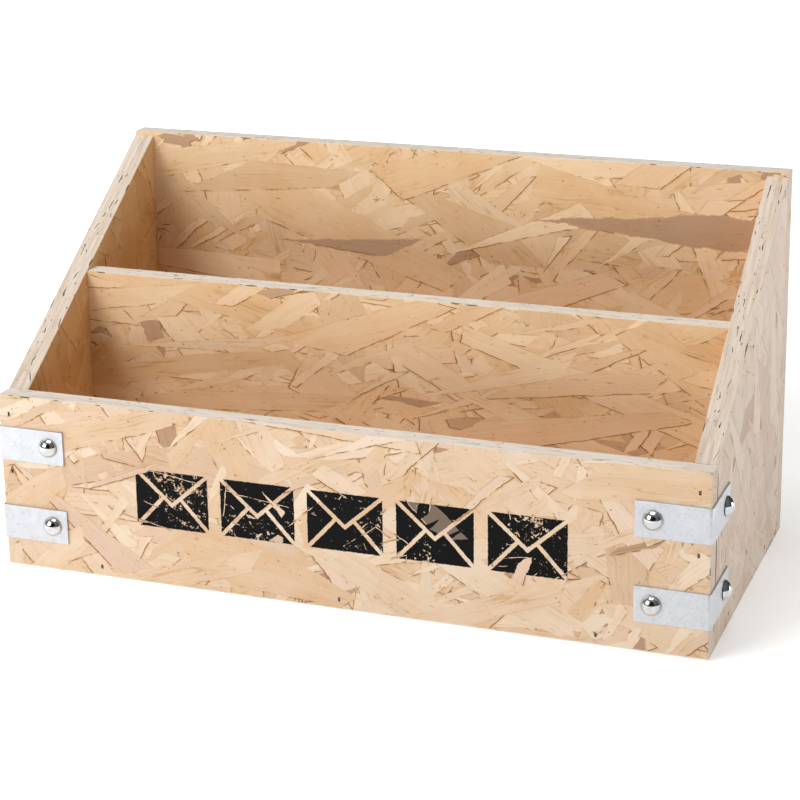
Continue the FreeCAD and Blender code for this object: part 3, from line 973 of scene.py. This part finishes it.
# Gaps where a side meets the front board: how many, over which share of its height, and their sizes in
# millimetres.
JOINT_GAPS = 9
GAP_HEIGHTS = (0.06, 0.94)
GAP_LENGTH = (7.0, 22.0)
GAP_WIDTH = (1.4, 2.6)
GAP_DEPTH = (2.0, 3.0)
# Brad recesses: which points are a brad's outer end, which belong to one head, how far the recess opens
# outwards, and its slack round the head.
HEAD_DEPTH = 0.1 * MM
HEAD_SPAN = 3 * MM
RECESS_REACH = 2 * MM
RECESS_SLACK = Vector((1, 1, 1)) * 0.04 * MM
# The brads that are driven through each board, and the way that their heads look.
DRIVEN = {
    "front_panel": (("front_panel_brads",), Vector((0, -1, 0))),
    "back_panel": (("back_panel_brads",), Vector((0, 1, 0))),
    "left_side_panel": (("divider_brads", "bottom_panel_brads"), Vector((-1, 0, 0))),
    "right_side_panel": (("divider_brads", "bottom_panel_brads"), Vector((1, 0, 0))),
    "divider_panel": ((), None),
    "bottom_panel": ((), None),
}


def board_blank(name):
    """A board at its place, square to the axes; a side is cut to its slope."""
    low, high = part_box(name)
    block = add_block(f"{name}_board", low, high)
    if name.endswith("side_panel"):
        front_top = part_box("front_panel")[1].z
        slope = Vector((0, high.y - low.y, high.z - front_top)).normalized()
        edit(block)
        bpy.ops.mesh.select_all(action="SELECT")
        bpy.ops.mesh.bisect(plane_co=(0, low.y, front_top), plane_no=Vector((0, -slope.z, slope.y)),
                            use_fill=True, clear_outer=True)
        outward()
        leave_edit()
    return block


def mark_edges(board, axis):
    """Gives the sawn edges and the sanded corners the second material, and the two ends the third."""
    for face in board.data.polygons:
        flat = abs(face.normal.dot(AXES[axis])) > SQUARE_ON
        end = abs(face.normal.x) > SQUARE_ON
        face.material_index = 0 if flat else 2 if end else 1


def ease_corners(board, width):
    """Sands the corners of a board lightly."""
    edit(board)
    bpy.ops.mesh.select_all(action="SELECT")
    bpy.ops.mesh.bevel(offset=width, segments=2, profile=0.6, affect="EDGES")
    outward()
    leave_edit()


def sand_foot(board, width):
    """Takes off the lower front corner of the front board."""
    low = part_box("front_panel")[0]
    edit(board)
    select_where(board, "edges", lambda edge: all(
        (board.data.vertices[index].co.yz - low.yz).length < TOUCHING for index in edge.vertices))
    bpy.ops.mesh.bevel(offset=width, segments=1, affect="EDGES")
    leave_edit()


def make_cutter(material):
    """A rough pebble, one unit long each way, that the voids and chips are copies of."""
    deselect()
    bpy.ops.mesh.primitive_ico_sphere_add(subdivisions=2, radius=0.5)
    pebble = bpy.context.object
    edit(pebble)
    bpy.ops.mesh.select_all(action="SELECT")
    bpy.ops.transform.vertex_random(offset=PEBBLE_ROUGHNESS, uniform=0.0, normal=0.0, seed=PEBBLE_SEED)
    leave_edit()
    pebble.data.materials.append(material)
    return pebble


def laid(place, along, across, *sizes):
    """A matrix that lays a unit shape along an edge: its length, width and depth in millimetres."""
    third = along.cross(across).normalized()
    turn = Matrix((along, across, third)).transposed().to_4x4()
    return Matrix.Translation(place) @ turn @ Matrix.Diagonal((*(size * MM for size in sizes), 1))


def between(ends, share):
    """The value at a share of the way between two."""
    return ends[0] + (ends[1] - ends[0]) * share


def chips(board, axis, settings, order):
    """Where chips are missing along a board's corners, before those are eased."""
    for edge in board.data.edges:
        start, end = (board.data.vertices[index].co for index in edge.vertices)
        run = end - start
        along = run.normalized()
        if abs(along.dot(AXES[axis])) > ALONG:
            continue
        for _ in range(round(run.length * settings.chips_per_metre)):
            place = start + run * order.random()
            size = order.uniform(*CHIP_SIZE) ** 2
            yield laid(place, along, AXES[axis], between(CHIP_LENGTH, size), between(CHIP_WIDTH, size),
                       between(CHIP_DEPTH, size))


def voids(board, axis, settings, order):
    """Where voids open between the strands of a board's sawn edges."""
    thickness = AXES[axis]
    rate = settings.voids_per_metre * (1.0 if axis == "X" else settings.clean_share)
    for face in board.data.polygons:
        normal = face.normal.copy()
        if abs(normal.dot(thickness)) > ALONG:
            continue
        along = normal.cross(thickness).normalized()
        corners = [board.data.vertices[index].co for index in face.vertices]
        middle = sum(corners, Vector()) / len(corners)
        half_run = max(abs((corner - middle).dot(along)) for corner in corners)
        half_thick = max(abs((corner - middle).dot(thickness)) for corner in corners)
        for _ in range(round(2 * half_run * rate)):
            shift = along * order.uniform(-half_run, half_run) * VOID_RUN
            layer = max(-VOID_LIMIT, min(VOID_LIMIT, order.gauss(0, VOID_SPREAD)))
            level = thickness * half_thick * layer
            length = order.uniform(*VOID_ROOT) ** 2
            lean = Matrix.Rotation(order.gauss(0, VOID_LEAN), 3, normal)
            yield laid(middle + shift + level, lean @ along, lean @ thickness, length,
                       order.uniform(*VOID_WIDTH), order.uniform(*VOID_DEPTH))


def slits(board, axis, settings, order):
    """Where thin upright splits are in a side board's two faces."""
    for face in board.data.polygons:
        normal = face.normal.copy()
        if abs(normal.dot(AXES[axis])) < ALONG:
            continue
        low, high = corners_of([board.data.vertices[index].co for index in face.vertices])
        for _ in range(round(face.area * settings.slits_per_area)):
            place = Vector(order.uniform(a, b) for a, b in zip(low, high))
            along = Matrix.Rotation(order.gauss(0, SLIT_LEAN), 3, normal) @ AXES["Z"]
            yield laid(place, along, along.cross(normal), order.uniform(*SLIT_LENGTH),
                       order.uniform(*SLIT_WIDTH), order.uniform(*SLIT_DEPTH))


def joint_gaps(name, order):
    """Where the joint gapes between a side board's outer face and the back of the front board."""
    low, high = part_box(name)
    outer = high.x if name.startswith("right") else low.x
    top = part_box("front_panel")[1].z
    for _ in range(JOINT_GAPS):
        place = Vector((outer, low.y, order.uniform(*GAP_HEIGHTS) * top))
        yield laid(place, AXES["Z"], AXES["Y"], order.uniform(*GAP_LENGTH), order.uniform(*GAP_WIDTH),
                   order.uniform(*GAP_DEPTH))


def board_cutters(board, name, axis, pebble, settings, order):
    """A copy of the pebble for each chip, void, slit and gap."""
    places = list(chips(board, axis, settings, order))
    places += voids(board, axis, settings, order)
    if axis == "X":
        places += slits(board, axis, settings, order)
        places += joint_gaps(name, order)
    return [copy_of(pebble, "cutter", matrix) for matrix in places]


def brad_heads(node_name, normal):
    """The box of each brad's outer end, for a group driven one way."""
    points = [vertex.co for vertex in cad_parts[node_name].data.vertices]
    outer = max(point.dot(normal) for point in points)
    heads = []
    for point in points:
        if outer - point.dot(normal) >= HEAD_DEPTH:
            continue
        home = next((head for head in heads if (head[0] - point).length < HEAD_SPAN), None)
        if home is None:
            heads.append([point])
        else:
            home.append(point)
    return [corners_of(head) for head in heads]


def brad_recesses(name, material):
    """Blocks that open the board's face over each brad's head; their walls take the painted void shade."""
    blocks = []
    groups, normal = DRIVEN[name]
    for node_name in groups:
        for low, high in brad_heads(node_name, normal):
            reach = normal * RECESS_REACH
            low, high = corners_of([low, high, low + reach, high + reach])
            block = add_block("recess", low - RECESS_SLACK, high + RECESS_SLACK)
            block.data.materials.append(material)
            blocks.append(block)
    return blocks


# ---------------------------------------------------------------- metal shaders

# Scratches: their turn in radians and their stretch; where smudges and scratches begin and are full.
SCRATCH_BEND = 0.5
SCRATCH_STRETCH = (1.0, 22.0, 22.0)
SMUDGE_RANGE = (0.35, 0.70)
SCRATCH_RANGE = (0.66, 0.72)


def handling_group():
    """Smudges and fine scratches that every bright metal part picks up."""
    tree, given, result = new_group("handling marks", [
        ("Position", "Vector", (0, 0, 0)),
        ("Smudge Size", "Float", 140.0),
        ("Scratch Size", "Float", 90.0),
    ], [("Smudge", "Float"), ("Scratch", "Float")])
    smudge = noise(tree, given["Position"], given["Smudge Size"], 3.0, 0.6)
    bent = node(tree, "ShaderNodeVectorRotate", {"Vector": given["Position"], "Angle": SCRATCH_BEND},
                rotation_type="AXIS_ANGLE").outputs[0]
    lines = noise(tree, scaled(tree, bent, SCRATCH_STRETCH), given["Scratch Size"])
    set_inputs(tree, result, Smudge=ramp_up(tree, smudge, *SMUDGE_RANGE),
               Scratch=ramp_up(tree, lines, *SCRATCH_RANGE))
    return tree


def handling_marks(tree, place, smudge_size, scratch_size):
    """The handling group's outputs in a material; the group is made when it is first asked for."""
    group = bpy.data.node_groups.get("handling marks") or handling_group()
    return use_group(tree, group, Position=place, Smudge_Size=smudge_size, Scratch_Size=scratch_size)


# Zinc: the crystals' size and how they wander, the fine grey spots, and how dark the dull zinc is.
CRYSTAL_SCALE, WARP_SCALE, WARP = 300.0, 260.0, 2.0 * MM
PIT_SCALE, SPOT_SCALE = 1400.0, 620.0
SPOT_RANGE = (0.52, 0.70)
DULL_ZINC = 0.80
CRYSTAL_DULLING, SPOT_DULLING, SCRATCH_DULLING = 0.35, 0.8, 0.5
ZINC_SCRATCH = (0.45, 0.45, 0.46)
# What crystals, smudges and scratches add to the zinc's roughness and height.
ZINC_ROUGHNESS, CRYSTAL_ROUGHNESS, SMUDGE_ROUGHNESS = 0.38, 0.08, 0.06
CRYSTAL_HEIGHT, SCRATCH_HEIGHT = 0.3, -0.5
# Strength and distance of the zinc's bump.
ZINC_BUMP = (0.32, 0.15 * MM)


def zinc_material(settings):
    """Galvanised strap: patches of zinc crystals, scratches and a few dull stains."""
    material, tree, shader = new_material("galvanised zinc")
    place = object_place(tree)
    warp = times(tree, noise(tree, place, WARP_SCALE, 2.0, 0.6), WARP)
    shifted = vector_node(tree, "ADD", place, same_xyz(tree, warp))
    pick = split_xyz(tree, cell_pattern(tree, shifted, CRYSTAL_SCALE)["Color"])
    marks = handling_marks(tree, place, smudge_size=190.0, scratch_size=80.0)
    pits = noise(tree, place, PIT_SCALE, 3.0, 0.65)
    dull = [DULL_ZINC * part for part in settings.zinc]
    base = mix_colour(tree, times(tree, pick["X"], CRYSTAL_DULLING), settings.zinc, dull)
    spots = ramp_up(tree, noise(tree, place, SPOT_SCALE, 3.0, 0.75), *SPOT_RANGE)
    stained = mix_colour(tree, times(tree, spots, SPOT_DULLING), base, dull)
    scored = mix_colour(tree, times(tree, marks["Scratch"], SCRATCH_DULLING), stained, ZINC_SCRATCH)
    rough = times_plus(tree, marks["Smudge"], SMUDGE_ROUGHNESS, ZINC_ROUGHNESS)
    rough = times_plus(tree, pick["Y"], CRYSTAL_ROUGHNESS, rough)
    height = times_plus(tree, marks["Scratch"], SCRATCH_HEIGHT, pits)
    height = times_plus(tree, pick["Z"], CRYSTAL_HEIGHT, height)
    set_inputs(tree, shader, Base_Color=scored, Metallic=0.85, Roughness=rough,
               Normal=bumped(tree, *ZINC_BUMP, height))
    return material


# Nail steel: how dark the soiled steel is, how much of it the smudges show, its roughness as (gain, base)
# of the smudges, what a scratch adds, and its faint dents with their bump's strength and distance.
SOILED_STEEL = 0.72
STEEL_SOILING = 0.4
STEEL_ROUGHNESS = (0.09, 0.09)
SCRATCH_ROUGHNESS = 0.10
DENT_SCALE = 240.0
STEEL_BUMP = (0.25, 0.3 * MM)


def nail_material(settings):
    """Polished nail steel with faint smudges."""
    material, tree, shader = new_material("polished nail steel")
    place = object_place(tree)
    marks = handling_marks(tree, place, smudge_size=420.0, scratch_size=300.0)
    soiled = [SOILED_STEEL * part for part in settings.steel]
    base = mix_colour(tree, times(tree, marks["Smudge"], STEEL_SOILING), settings.steel, soiled)
    rough = times_plus(tree, marks["Scratch"], SCRATCH_ROUGHNESS,
                       times_plus(tree, marks["Smudge"], *STEEL_ROUGHNESS))
    dents = noise(tree, place, DENT_SCALE, 1.0)
    set_inputs(tree, shader, Base_Color=base, Metallic=1.0, Roughness=rough,
               Normal=bumped(tree, *STEEL_BUMP, dents))
    return material


# The rim, painted dark as the shade under the nail head and with dirt on it: the dirt's pattern, the
# rim's two colours, and its metal and roughness as (gain, base) of the dirt.
RIM_DIRT_SCALE = 900.0
RIM_DIRT_RANGE = (0.35, 0.65)
RIM_SHADED, RIM_SHADED_DIRTY = (0.20, 0.195, 0.19), (0.055, 0.05, 0.045)
RIM_METAL = (-0.7, 0.9)
RIM_ROUGHNESS = (0.3, 0.35)


def rim_shade_material():
    """The nail head's rim: painted shade under the head, and dull where dirt and zinc gather under it."""
    material, tree, shader = new_material("soiled nail rim")
    dirt = ramp_up(tree, noise(tree, object_place(tree), RIM_DIRT_SCALE, 3.0, 0.6), *RIM_DIRT_RANGE)
    set_inputs(tree, shader, Base_Color=mix_colour(tree, dirt, RIM_SHADED, RIM_SHADED_DIRTY),
               Metallic=times_plus(tree, dirt, *RIM_METAL),
               Roughness=times_plus(tree, dirt, *RIM_ROUGHNESS))
    return material


# Brad wire: its colours, how much a scratch shows, and its metal and roughness as (gain, base) of the bloom.
WIRE, WIRE_BLOOM, WIRE_SCRATCH = (0.17, 0.16, 0.155), (0.13, 0.085, 0.055), (0.42, 0.41, 0.40)
WIRE_SCRATCHING = 0.7
WIRE_METAL = (-0.4, 0.9)
WIRE_ROUGHNESS = (0.3, 0.42)


def wire_material():
    """Dark brad wire with a thin brown bloom."""
    material, tree, shader = new_material("brad wire")
    marks = handling_marks(tree, object_place(tree), smudge_size=900.0, scratch_size=500.0)
    base = mix_colour(tree, marks["Smudge"], WIRE, WIRE_BLOOM)
    worn = mix_colour(tree, times(tree, marks["Scratch"], WIRE_SCRATCHING), base, WIRE_SCRATCH)
    set_inputs(tree, shader, Base_Color=worn, Metallic=times_plus(tree, marks["Smudge"], *WIRE_METAL),
               Roughness=times_plus(tree, marks["Smudge"], *WIRE_ROUGHNESS))
    return material


# ---------------------------------------------------------------- straps and nails

# Faces larger than this, the straps' legs, are shaded flat.
FLAT_AREA = 6.0 * MM ** 2
SHEARED = math.radians(40)
STRAP_SMOOTH = math.radians(35)
BEND_STEPS = 8
PUNCH_SIDES = 24
PUNCH_SLACK = 0.05 * MM
NAIL_SIDES = 40
NAIL_SMOOTH = math.radians(32)
DOME_RINGS = 12
SHANK_RADIUS = 1.0 * MM
POINT_LENGTH = 2.0 * MM
HEAD_RIM = 0.4 * MM
HEAD_UNDERCUT = 0.93


def right_upper_strap(settings):
    """A strap bent round the right front corner: a front leg, a spun bend and a side leg."""
    low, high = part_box("right_upper_strap")
    corner = Vector((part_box("right_side_panel")[1].x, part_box("front_panel")[0].y, 0))
    thickness = high.x - corner.x
    bend = settings.bend_radius
    middle = Vector((corner.x - bend, corner.y + bend, 0))
    strap = add_block("strap", low, Vector((middle.x, low.y + thickness, high.z)))
    edit(strap)
    select_where(strap, "polygons", lambda face: face.normal.x > SQUARE_ON)
    bpy.ops.mesh.spin(steps=BEND_STEPS, angle=QUARTER_TURN, center=middle, axis=(0, 0, -1))
    leave_edit()
    edit(strap)
    select_where(strap, "polygons",
                 lambda face: face.normal.y > SQUARE_ON and abs(face.center.y - middle.y) < TOUCHING)
    extrude(0, high.y - middle.y, 0)
    bpy.ops.mesh.select_all(action="SELECT")
    bpy.ops.mesh.remove_doubles(threshold=TOUCHING / 10)
    outward()
    leave_edit()
    return strap


def punch_holes(strap, nails):
    """Opens the strap for each nail's shank."""
    punches = []
    for name in nails:
        low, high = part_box(name)
        side = name.endswith("side_nail")
        deselect()
        bpy.ops.mesh.primitive_cylinder_add(
            vertices=PUNCH_SIDES, radius=SHANK_RADIUS + PUNCH_SLACK,
            depth=high.x - low.x + high.y - low.y, location=(low + high) / 2,
            rotation=(0, QUARTER_TURN, 0) if side else (QUARTER_TURN, 0, 0))
        bake_place()
        punches.append(bpy.context.object)
    cut_out(strap, punches)


def round_strap_edges(strap, settings):
    """Takes the sharpness off the sheared edges."""
    apply_modifier(strap, "BEVEL", width=settings.strap_edge, segments=2, limit_method="ANGLE",
                   angle_limit=SHEARED)
    make_active(strap)
    bpy.ops.object.shade_smooth_by_angle(angle=STRAP_SMOOTH)
    edit(strap)
    select_where(strap, "polygons", lambda face: face.area > FLAT_AREA)
    bpy.ops.mesh.faces_shade_flat()
    leave_edit()


def turn_faces_out(piece):
    """Turns a copy's faces outwards again, which a mirroring has turned in."""
    edit(piece)
    outward()
    leave_edit()


def raise_dome(nail, radius, dome):
    """Extrudes the head's open face ring by ring into a dome, and closes it."""
    round_radius = (radius ** 2 + dome ** 2) / (2 * dome)
    start = math.asin(min(1.0, radius / round_radius))
    edit(nail)
    select_where(nail, "polygons", lambda face: face.normal.z > SQUARE_ON)
    level, wide = HEAD_RIM, radius
    for ring in range(1, DOME_RINGS):
        angle = start * (1 - ring / DOME_RINGS)
        next_level = HEAD_RIM + dome - round_radius + round_radius * math.cos(angle)
        next_wide = round_radius * math.sin(angle)
        extrude(0, 0, next_level - level)
        ratio = next_wide / wide
        bpy.ops.transform.resize(value=(ratio, ratio, 1), center_override=(0, 0, next_level))
        level, wide = next_level, next_wide
    extrude(0, 0, HEAD_RIM + dome - level)
    bpy.ops.mesh.merge(type="CENTER")
    leave_edit()


def drop_shank(nail, radius, shank):
    """Undercuts the head and extrudes the shank and its point below it."""
    edit(nail)
    select_where(nail, "polygons", lambda face: face.normal.z < -SQUARE_ON)
    bpy.ops.transform.resize(value=(HEAD_UNDERCUT, HEAD_UNDERCUT, 1), center_override=(0, 0, 0))
    bpy.ops.mesh.inset(thickness=radius * HEAD_UNDERCUT - SHANK_RADIUS)
    extrude(0, 0, POINT_LENGTH - shank)
    extrude(0, 0, -POINT_LENGTH)
    bpy.ops.mesh.merge(type="CENTER")
    outward()
    leave_edit()


def dome_nail():
    """A dome-head nail at the origin, its shank below it, and its head's height."""
    low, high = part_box("right_upper_front_nail")
    radius = (high.x - low.x) / 2
    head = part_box("right_upper_strap")[0].y - low.y
    deselect()
    bpy.ops.mesh.primitive_cylinder_add(vertices=NAIL_SIDES, radius=radius, depth=HEAD_RIM,
                                        location=(0, 0, HEAD_RIM / 2))
    nail = bpy.context.object
    bake_place()
    raise_dome(nail, radius, head - HEAD_RIM)
    drop_shank(nail, radius, high.y - low.y - head)
    bpy.ops.object.shade_smooth_by_angle(angle=NAIL_SMOOTH)
    return nail, head


def mark_rim(nail):
    """Gives the rim, the underside and the shank their dull material of painted shade and dirt."""
    for face in nail.data.polygons:
        face.material_index = 1 if face.center.z < HEAD_RIM else 0


def nail_matrix(name, head):
    """Moves the nail from the origin to its place, its head outwards."""
    low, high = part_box(name)
    seat = (low + high) / 2
    if name.endswith("front_nail"):
        seat.y = low.y + head
        return Matrix.Translation(seat) @ Matrix.Rotation(QUARTER_TURN, 4, "X")
    sign = 1 if name.startswith("right") else -1
    seat.x = high.x - head if sign > 0 else low.x + head
    return Matrix.Translation(seat) @ Matrix.Rotation(sign * QUARTER_TURN, 4, "Y")


# ---------------------------------------------------------------- stage

FLOOR_SIZE = 40
FLOOR_COLOUR = (0.93, 0.93, 0.93)
# The floor's glow: its middle, from where to where it grows outwards and to the left, and how much each
# adds to its base.
GLOW_MIDDLE = (0.08, 0.0, 0.0)
GLOW_RANGE, GLOW = (0.12, 0.8), 0.5
LEFTWARD = Vector((-1, 0, 0))
LEFT_RANGE, LEFT_GLOW = (-0.05, 0.40), 0.35
BASE_GLOW = 0.28
# Lights: name, place, size in metres and power in watts.
LIGHTS = (
    ("key", (-1.2, -1.7, 1.2), 1.2, 30),
    ("fill", (1.7, 0.75, 0.22), 0.5, 8),
    ("top", (0.0, -0.1, 2.2), 1.4, 23),
)
LIGHT_TARGET = Vector((0, 0, 0.08))
# The studio round the rack: the way to its bright side, from where to where it brightens, its two greys,
# and a dark patch that the nails mirror.
BRIGHT_WAY = Vector((-0.6, -0.6, 0.5))
BRIGHT_RANGE = (-0.9, 0.9)
DIM_SIDE, BRIGHT_SIDE = (0.04, 0.04, 0.045), (0.27, 0.27, 0.27)
DARK_WAY = Vector((0.12, -0.92, 0.37))
DARK_RANGE = (0.80, 0.90)
DARK_PATCH = (0.006, 0.006, 0.006)
SENSOR_WIDTH = 36


def make_floor():
    """A wide white floor that glows softly away from the rack."""
    deselect()
    bpy.ops.mesh.primitive_plane_add(size=FLOOR_SIZE)
    floor = bpy.context.object
    floor.name = "floor"
    material, tree, shader = new_material("floor")
    place = object_place(tree)
    away = vector_node(tree, "LENGTH", vector_node(tree, "SUBTRACT", place, GLOW_MIDDLE))
    left = ramp_up(tree, vector_node(tree, "DOT_PRODUCT", place, LEFTWARD), *LEFT_RANGE)
    level = times_plus(tree, ramp_up(tree, away, *GLOW_RANGE), GLOW,
                       times_plus(tree, left, LEFT_GLOW, BASE_GLOW))
    set_inputs(tree, shader, Base_Color=FLOOR_COLOUR, Roughness=0.9,
               Emission_Color=same_xyz(tree, level), Emission_Strength=1.0)
    floor.data.materials.append(material)


def make_lights():
    """Square soft lights: a key from the left front, a low fill from the right and one from above."""
    for name, place, size, power in LIGHTS:
        bpy.ops.object.light_add(type="AREA", location=place)
        light = bpy.context.object
        light.name = name
        light.data.shape = "SQUARE"
        light.data.size = size
        light.data.energy = power
        light.rotation_euler = (LIGHT_TARGET - light.location).to_track_quat("-Z", "Y").to_euler()


def make_world(scene):
    """White to the camera; as light, brighter towards the left front than behind."""
    world = bpy.data.worlds.new("studio")
    scene.world = world
    world.use_nodes = True
    tree = world.node_tree
    way = node(tree, "ShaderNodeTexCoord").outputs["Generated"]
    seen = node(tree, "ShaderNodeLightPath").outputs["Is Camera Ray"]
    bright = ramp_up(tree, vector_node(tree, "DOT_PRODUCT", way, BRIGHT_WAY), *BRIGHT_RANGE)
    dark = ramp_up(tree, vector_node(tree, "DOT_PRODUCT", way, DARK_WAY), *DARK_RANGE)
    lit = mix_colour(tree, dark, mix_colour(tree, bright, DIM_SIDE, BRIGHT_SIDE), DARK_PATCH)
    set_inputs(tree, tree.nodes["Background"].inputs, Color=mix_colour(tree, seen, lit, (1, 1, 1)),
               Strength=1.0)
    scene.view_settings.view_transform = "Standard"


def make_camera(scene, settings):
    """The camera at its viewing angle."""
    data = bpy.data.cameras.new("camera")
    camera = bpy.data.objects.new("camera", data)
    scene.collection.objects.link(camera)
    turn = (Matrix.Rotation(settings.camera_turn, 4, "Z")
            @ Matrix.Rotation(QUARTER_TURN - settings.camera_tilt, 4, "X")
            @ Matrix.Rotation(settings.camera_roll, 4, "Z"))
    camera.matrix_world = Matrix.Translation(settings.camera_place) @ turn
    data.sensor_width = SENSOR_WIDTH
    data.lens = settings.lens
    data.shift_x, data.shift_y = settings.shift
    scene.camera = camera


# ---------------------------------------------------------------- operators

class RACK_OT_boards(Operator):
    """Makes the six strand boards with their voids, chips and brad recesses"""
    bl_idname = "rack.boards"
    bl_label = "Boards"

    def execute(self, context):
        settings = context.scene.rack_boards
        groups = {"board": strand_board_group(strand_layer_group()), "edge": cut_edge_group(),
                  "print": envelope_print_group()}
        # Voids, chips, slits, gaps and brad recesses are lined with painted shade.
        painted_void_shade = void_shade_material()
        pebble = make_cutter(painted_void_shade)
        order = random.Random(settings.seed)
        for number, (name, axis) in enumerate(BOARDS.items()):
            middle = middle_of(name).dot(AXES[axis])
            board = board_blank(name)
            finishes = board.data.materials
            finishes.append(face_material(name, axis, middle, BOARD_STEP * number, groups))
            tones = SIDE_EDGE if axis == "X" else PALE_TOP_LIT_EDGE
            finishes.append(edge_material(f"{name} sawn edge", axis, middle, groups, tones))
            if axis != "X":
                finishes.append(edge_material(f"{name} end", axis, middle, groups, SIDE_EDGE))
            cutters = brad_recesses(name, painted_void_shade)
            cutters += board_cutters(board, name, axis, pebble, settings, order)
            if name == "front_panel":
                sand_foot(board, settings.foot_arris)
            ease_corners(board, settings.arris)
            mark_edges(board, axis)
            cut_out(board, cutters, use_self=True, material_mode="TRANSFER")
            hand_over(board, name)
        remove(pebble)
        return {"FINISHED"}


class RACK_OT_straps(Operator):
    """Makes one corner strap and its three copies"""
    bl_idname = "rack.straps"
    bl_label = "Corner straps"

    def execute(self, context):
        settings = context.scene.rack_metal
        zinc = zinc_material(settings)
        pattern = right_upper_strap(settings)
        punch_holes(pattern, ("right_upper_front_nail", "right_upper_side_nail"))
        round_strap_edges(pattern, settings)
        pattern.data.materials.append(zinc)
        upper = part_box("right_upper_strap")[0].z
        for side, level in CORNERS:
            name = f"{side}_{level}_strap"
            matrix = Matrix.Translation((0, 0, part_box(name)[0].z - upper))
            if side == "left":
                matrix = Matrix.Diagonal((-1, 1, 1, 1)) @ matrix
            strap = copy_of(pattern, f"{name}_piece", matrix)
            turn_faces_out(strap)
            hand_over(strap, name)
        remove(pattern)
        return {"FINISHED"}


class RACK_OT_nails(Operator):
    """Makes one dome-head nail and its copies"""
    bl_idname = "rack.nails"
    bl_label = "Dome-head nails"

    def execute(self, context):
        steel = nail_material(context.scene.rack_metal)
        pattern, head = dome_nail()
        pattern.data.materials.append(steel)
        pattern.data.materials.append(rim_shade_material())
        mark_rim(pattern)
        for side, level in CORNERS:
            for leg in ("front", "side"):
                name = f"{side}_{level}_{leg}_nail"
                nail = copy_of(pattern, f"{name}_piece", nail_matrix(name, head))
                hand_over(nail, name)
        remove(pattern)
        return {"FINISHED"}


class RACK_OT_brads(Operator):
    """Gives the brads their wire"""
    bl_idname = "rack.brads"
    bl_label = "Brads"

    def execute(self, context):
        wire = wire_material()
        for name in BRADS:
            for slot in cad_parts[name].material_slots:
                slot.material = wire
        return {"FINISHED"}


class RACK_OT_stage(Operator):
    """Makes the floor, the lights and the camera"""
    bl_idname = "rack.stage"
    bl_label = "Stage"

    def execute(self, context):
        make_floor()
        make_lights()
        make_world(context.scene)
        make_camera(context.scene, context.scene.rack_stage)
        return {"FINISHED"}


class RACK_PT_parts(Panel):
    """Lists the parts of the rack and their settings"""
    bl_idname = "RACK_PT_parts"
    bl_label = "Letter rack"
    bl_space_type = "VIEW_3D"
    bl_region_type = "UI"
    bl_category = "Letter rack"

    def draw(self, context):
        for group, operators in PANEL_ROWS:
            box = self.layout.box()
            settings = getattr(context.scene, group)
            for name in settings.__annotations__:
                box.prop(settings, name)
            for operator in operators:
                box.operator(operator.bl_idname)


PANEL_ROWS = (
    ("rack_boards", (RACK_OT_boards,)),
    ("rack_metal", (RACK_OT_straps, RACK_OT_nails, RACK_OT_brads)),
    ("rack_stage", (RACK_OT_stage,)),
)
CLASSES = (BoardSettings, MetalSettings, StageSettings, RACK_OT_boards, RACK_OT_straps, RACK_OT_nails,
           RACK_OT_brads, RACK_OT_stage, RACK_PT_parts)


def register():
    """Registers the settings, the operators and the panel."""
    for item in CLASSES:
        bpy.utils.register_class(item)
    bpy.types.Scene.rack_boards = PointerProperty(type=BoardSettings)
    bpy.types.Scene.rack_metal = PointerProperty(type=MetalSettings)
    bpy.types.Scene.rack_stage = PointerProperty(type=StageSettings)


def unregister():
    """Takes the panel, the operators and the settings away again."""
    del bpy.types.Scene.rack_boards
    del bpy.types.Scene.rack_metal
    del bpy.types.Scene.rack_stage
    for item in reversed(CLASSES):
        bpy.utils.unregister_class(item)


def main():
    """Builds the rack and the stage."""
    register()
    bpy.ops.rack.boards()
    bpy.ops.rack.straps()
    bpy.ops.rack.nails()
    bpy.ops.rack.brads()
    bpy.ops.rack.stage()


if __name__ == "__main__":
    main()
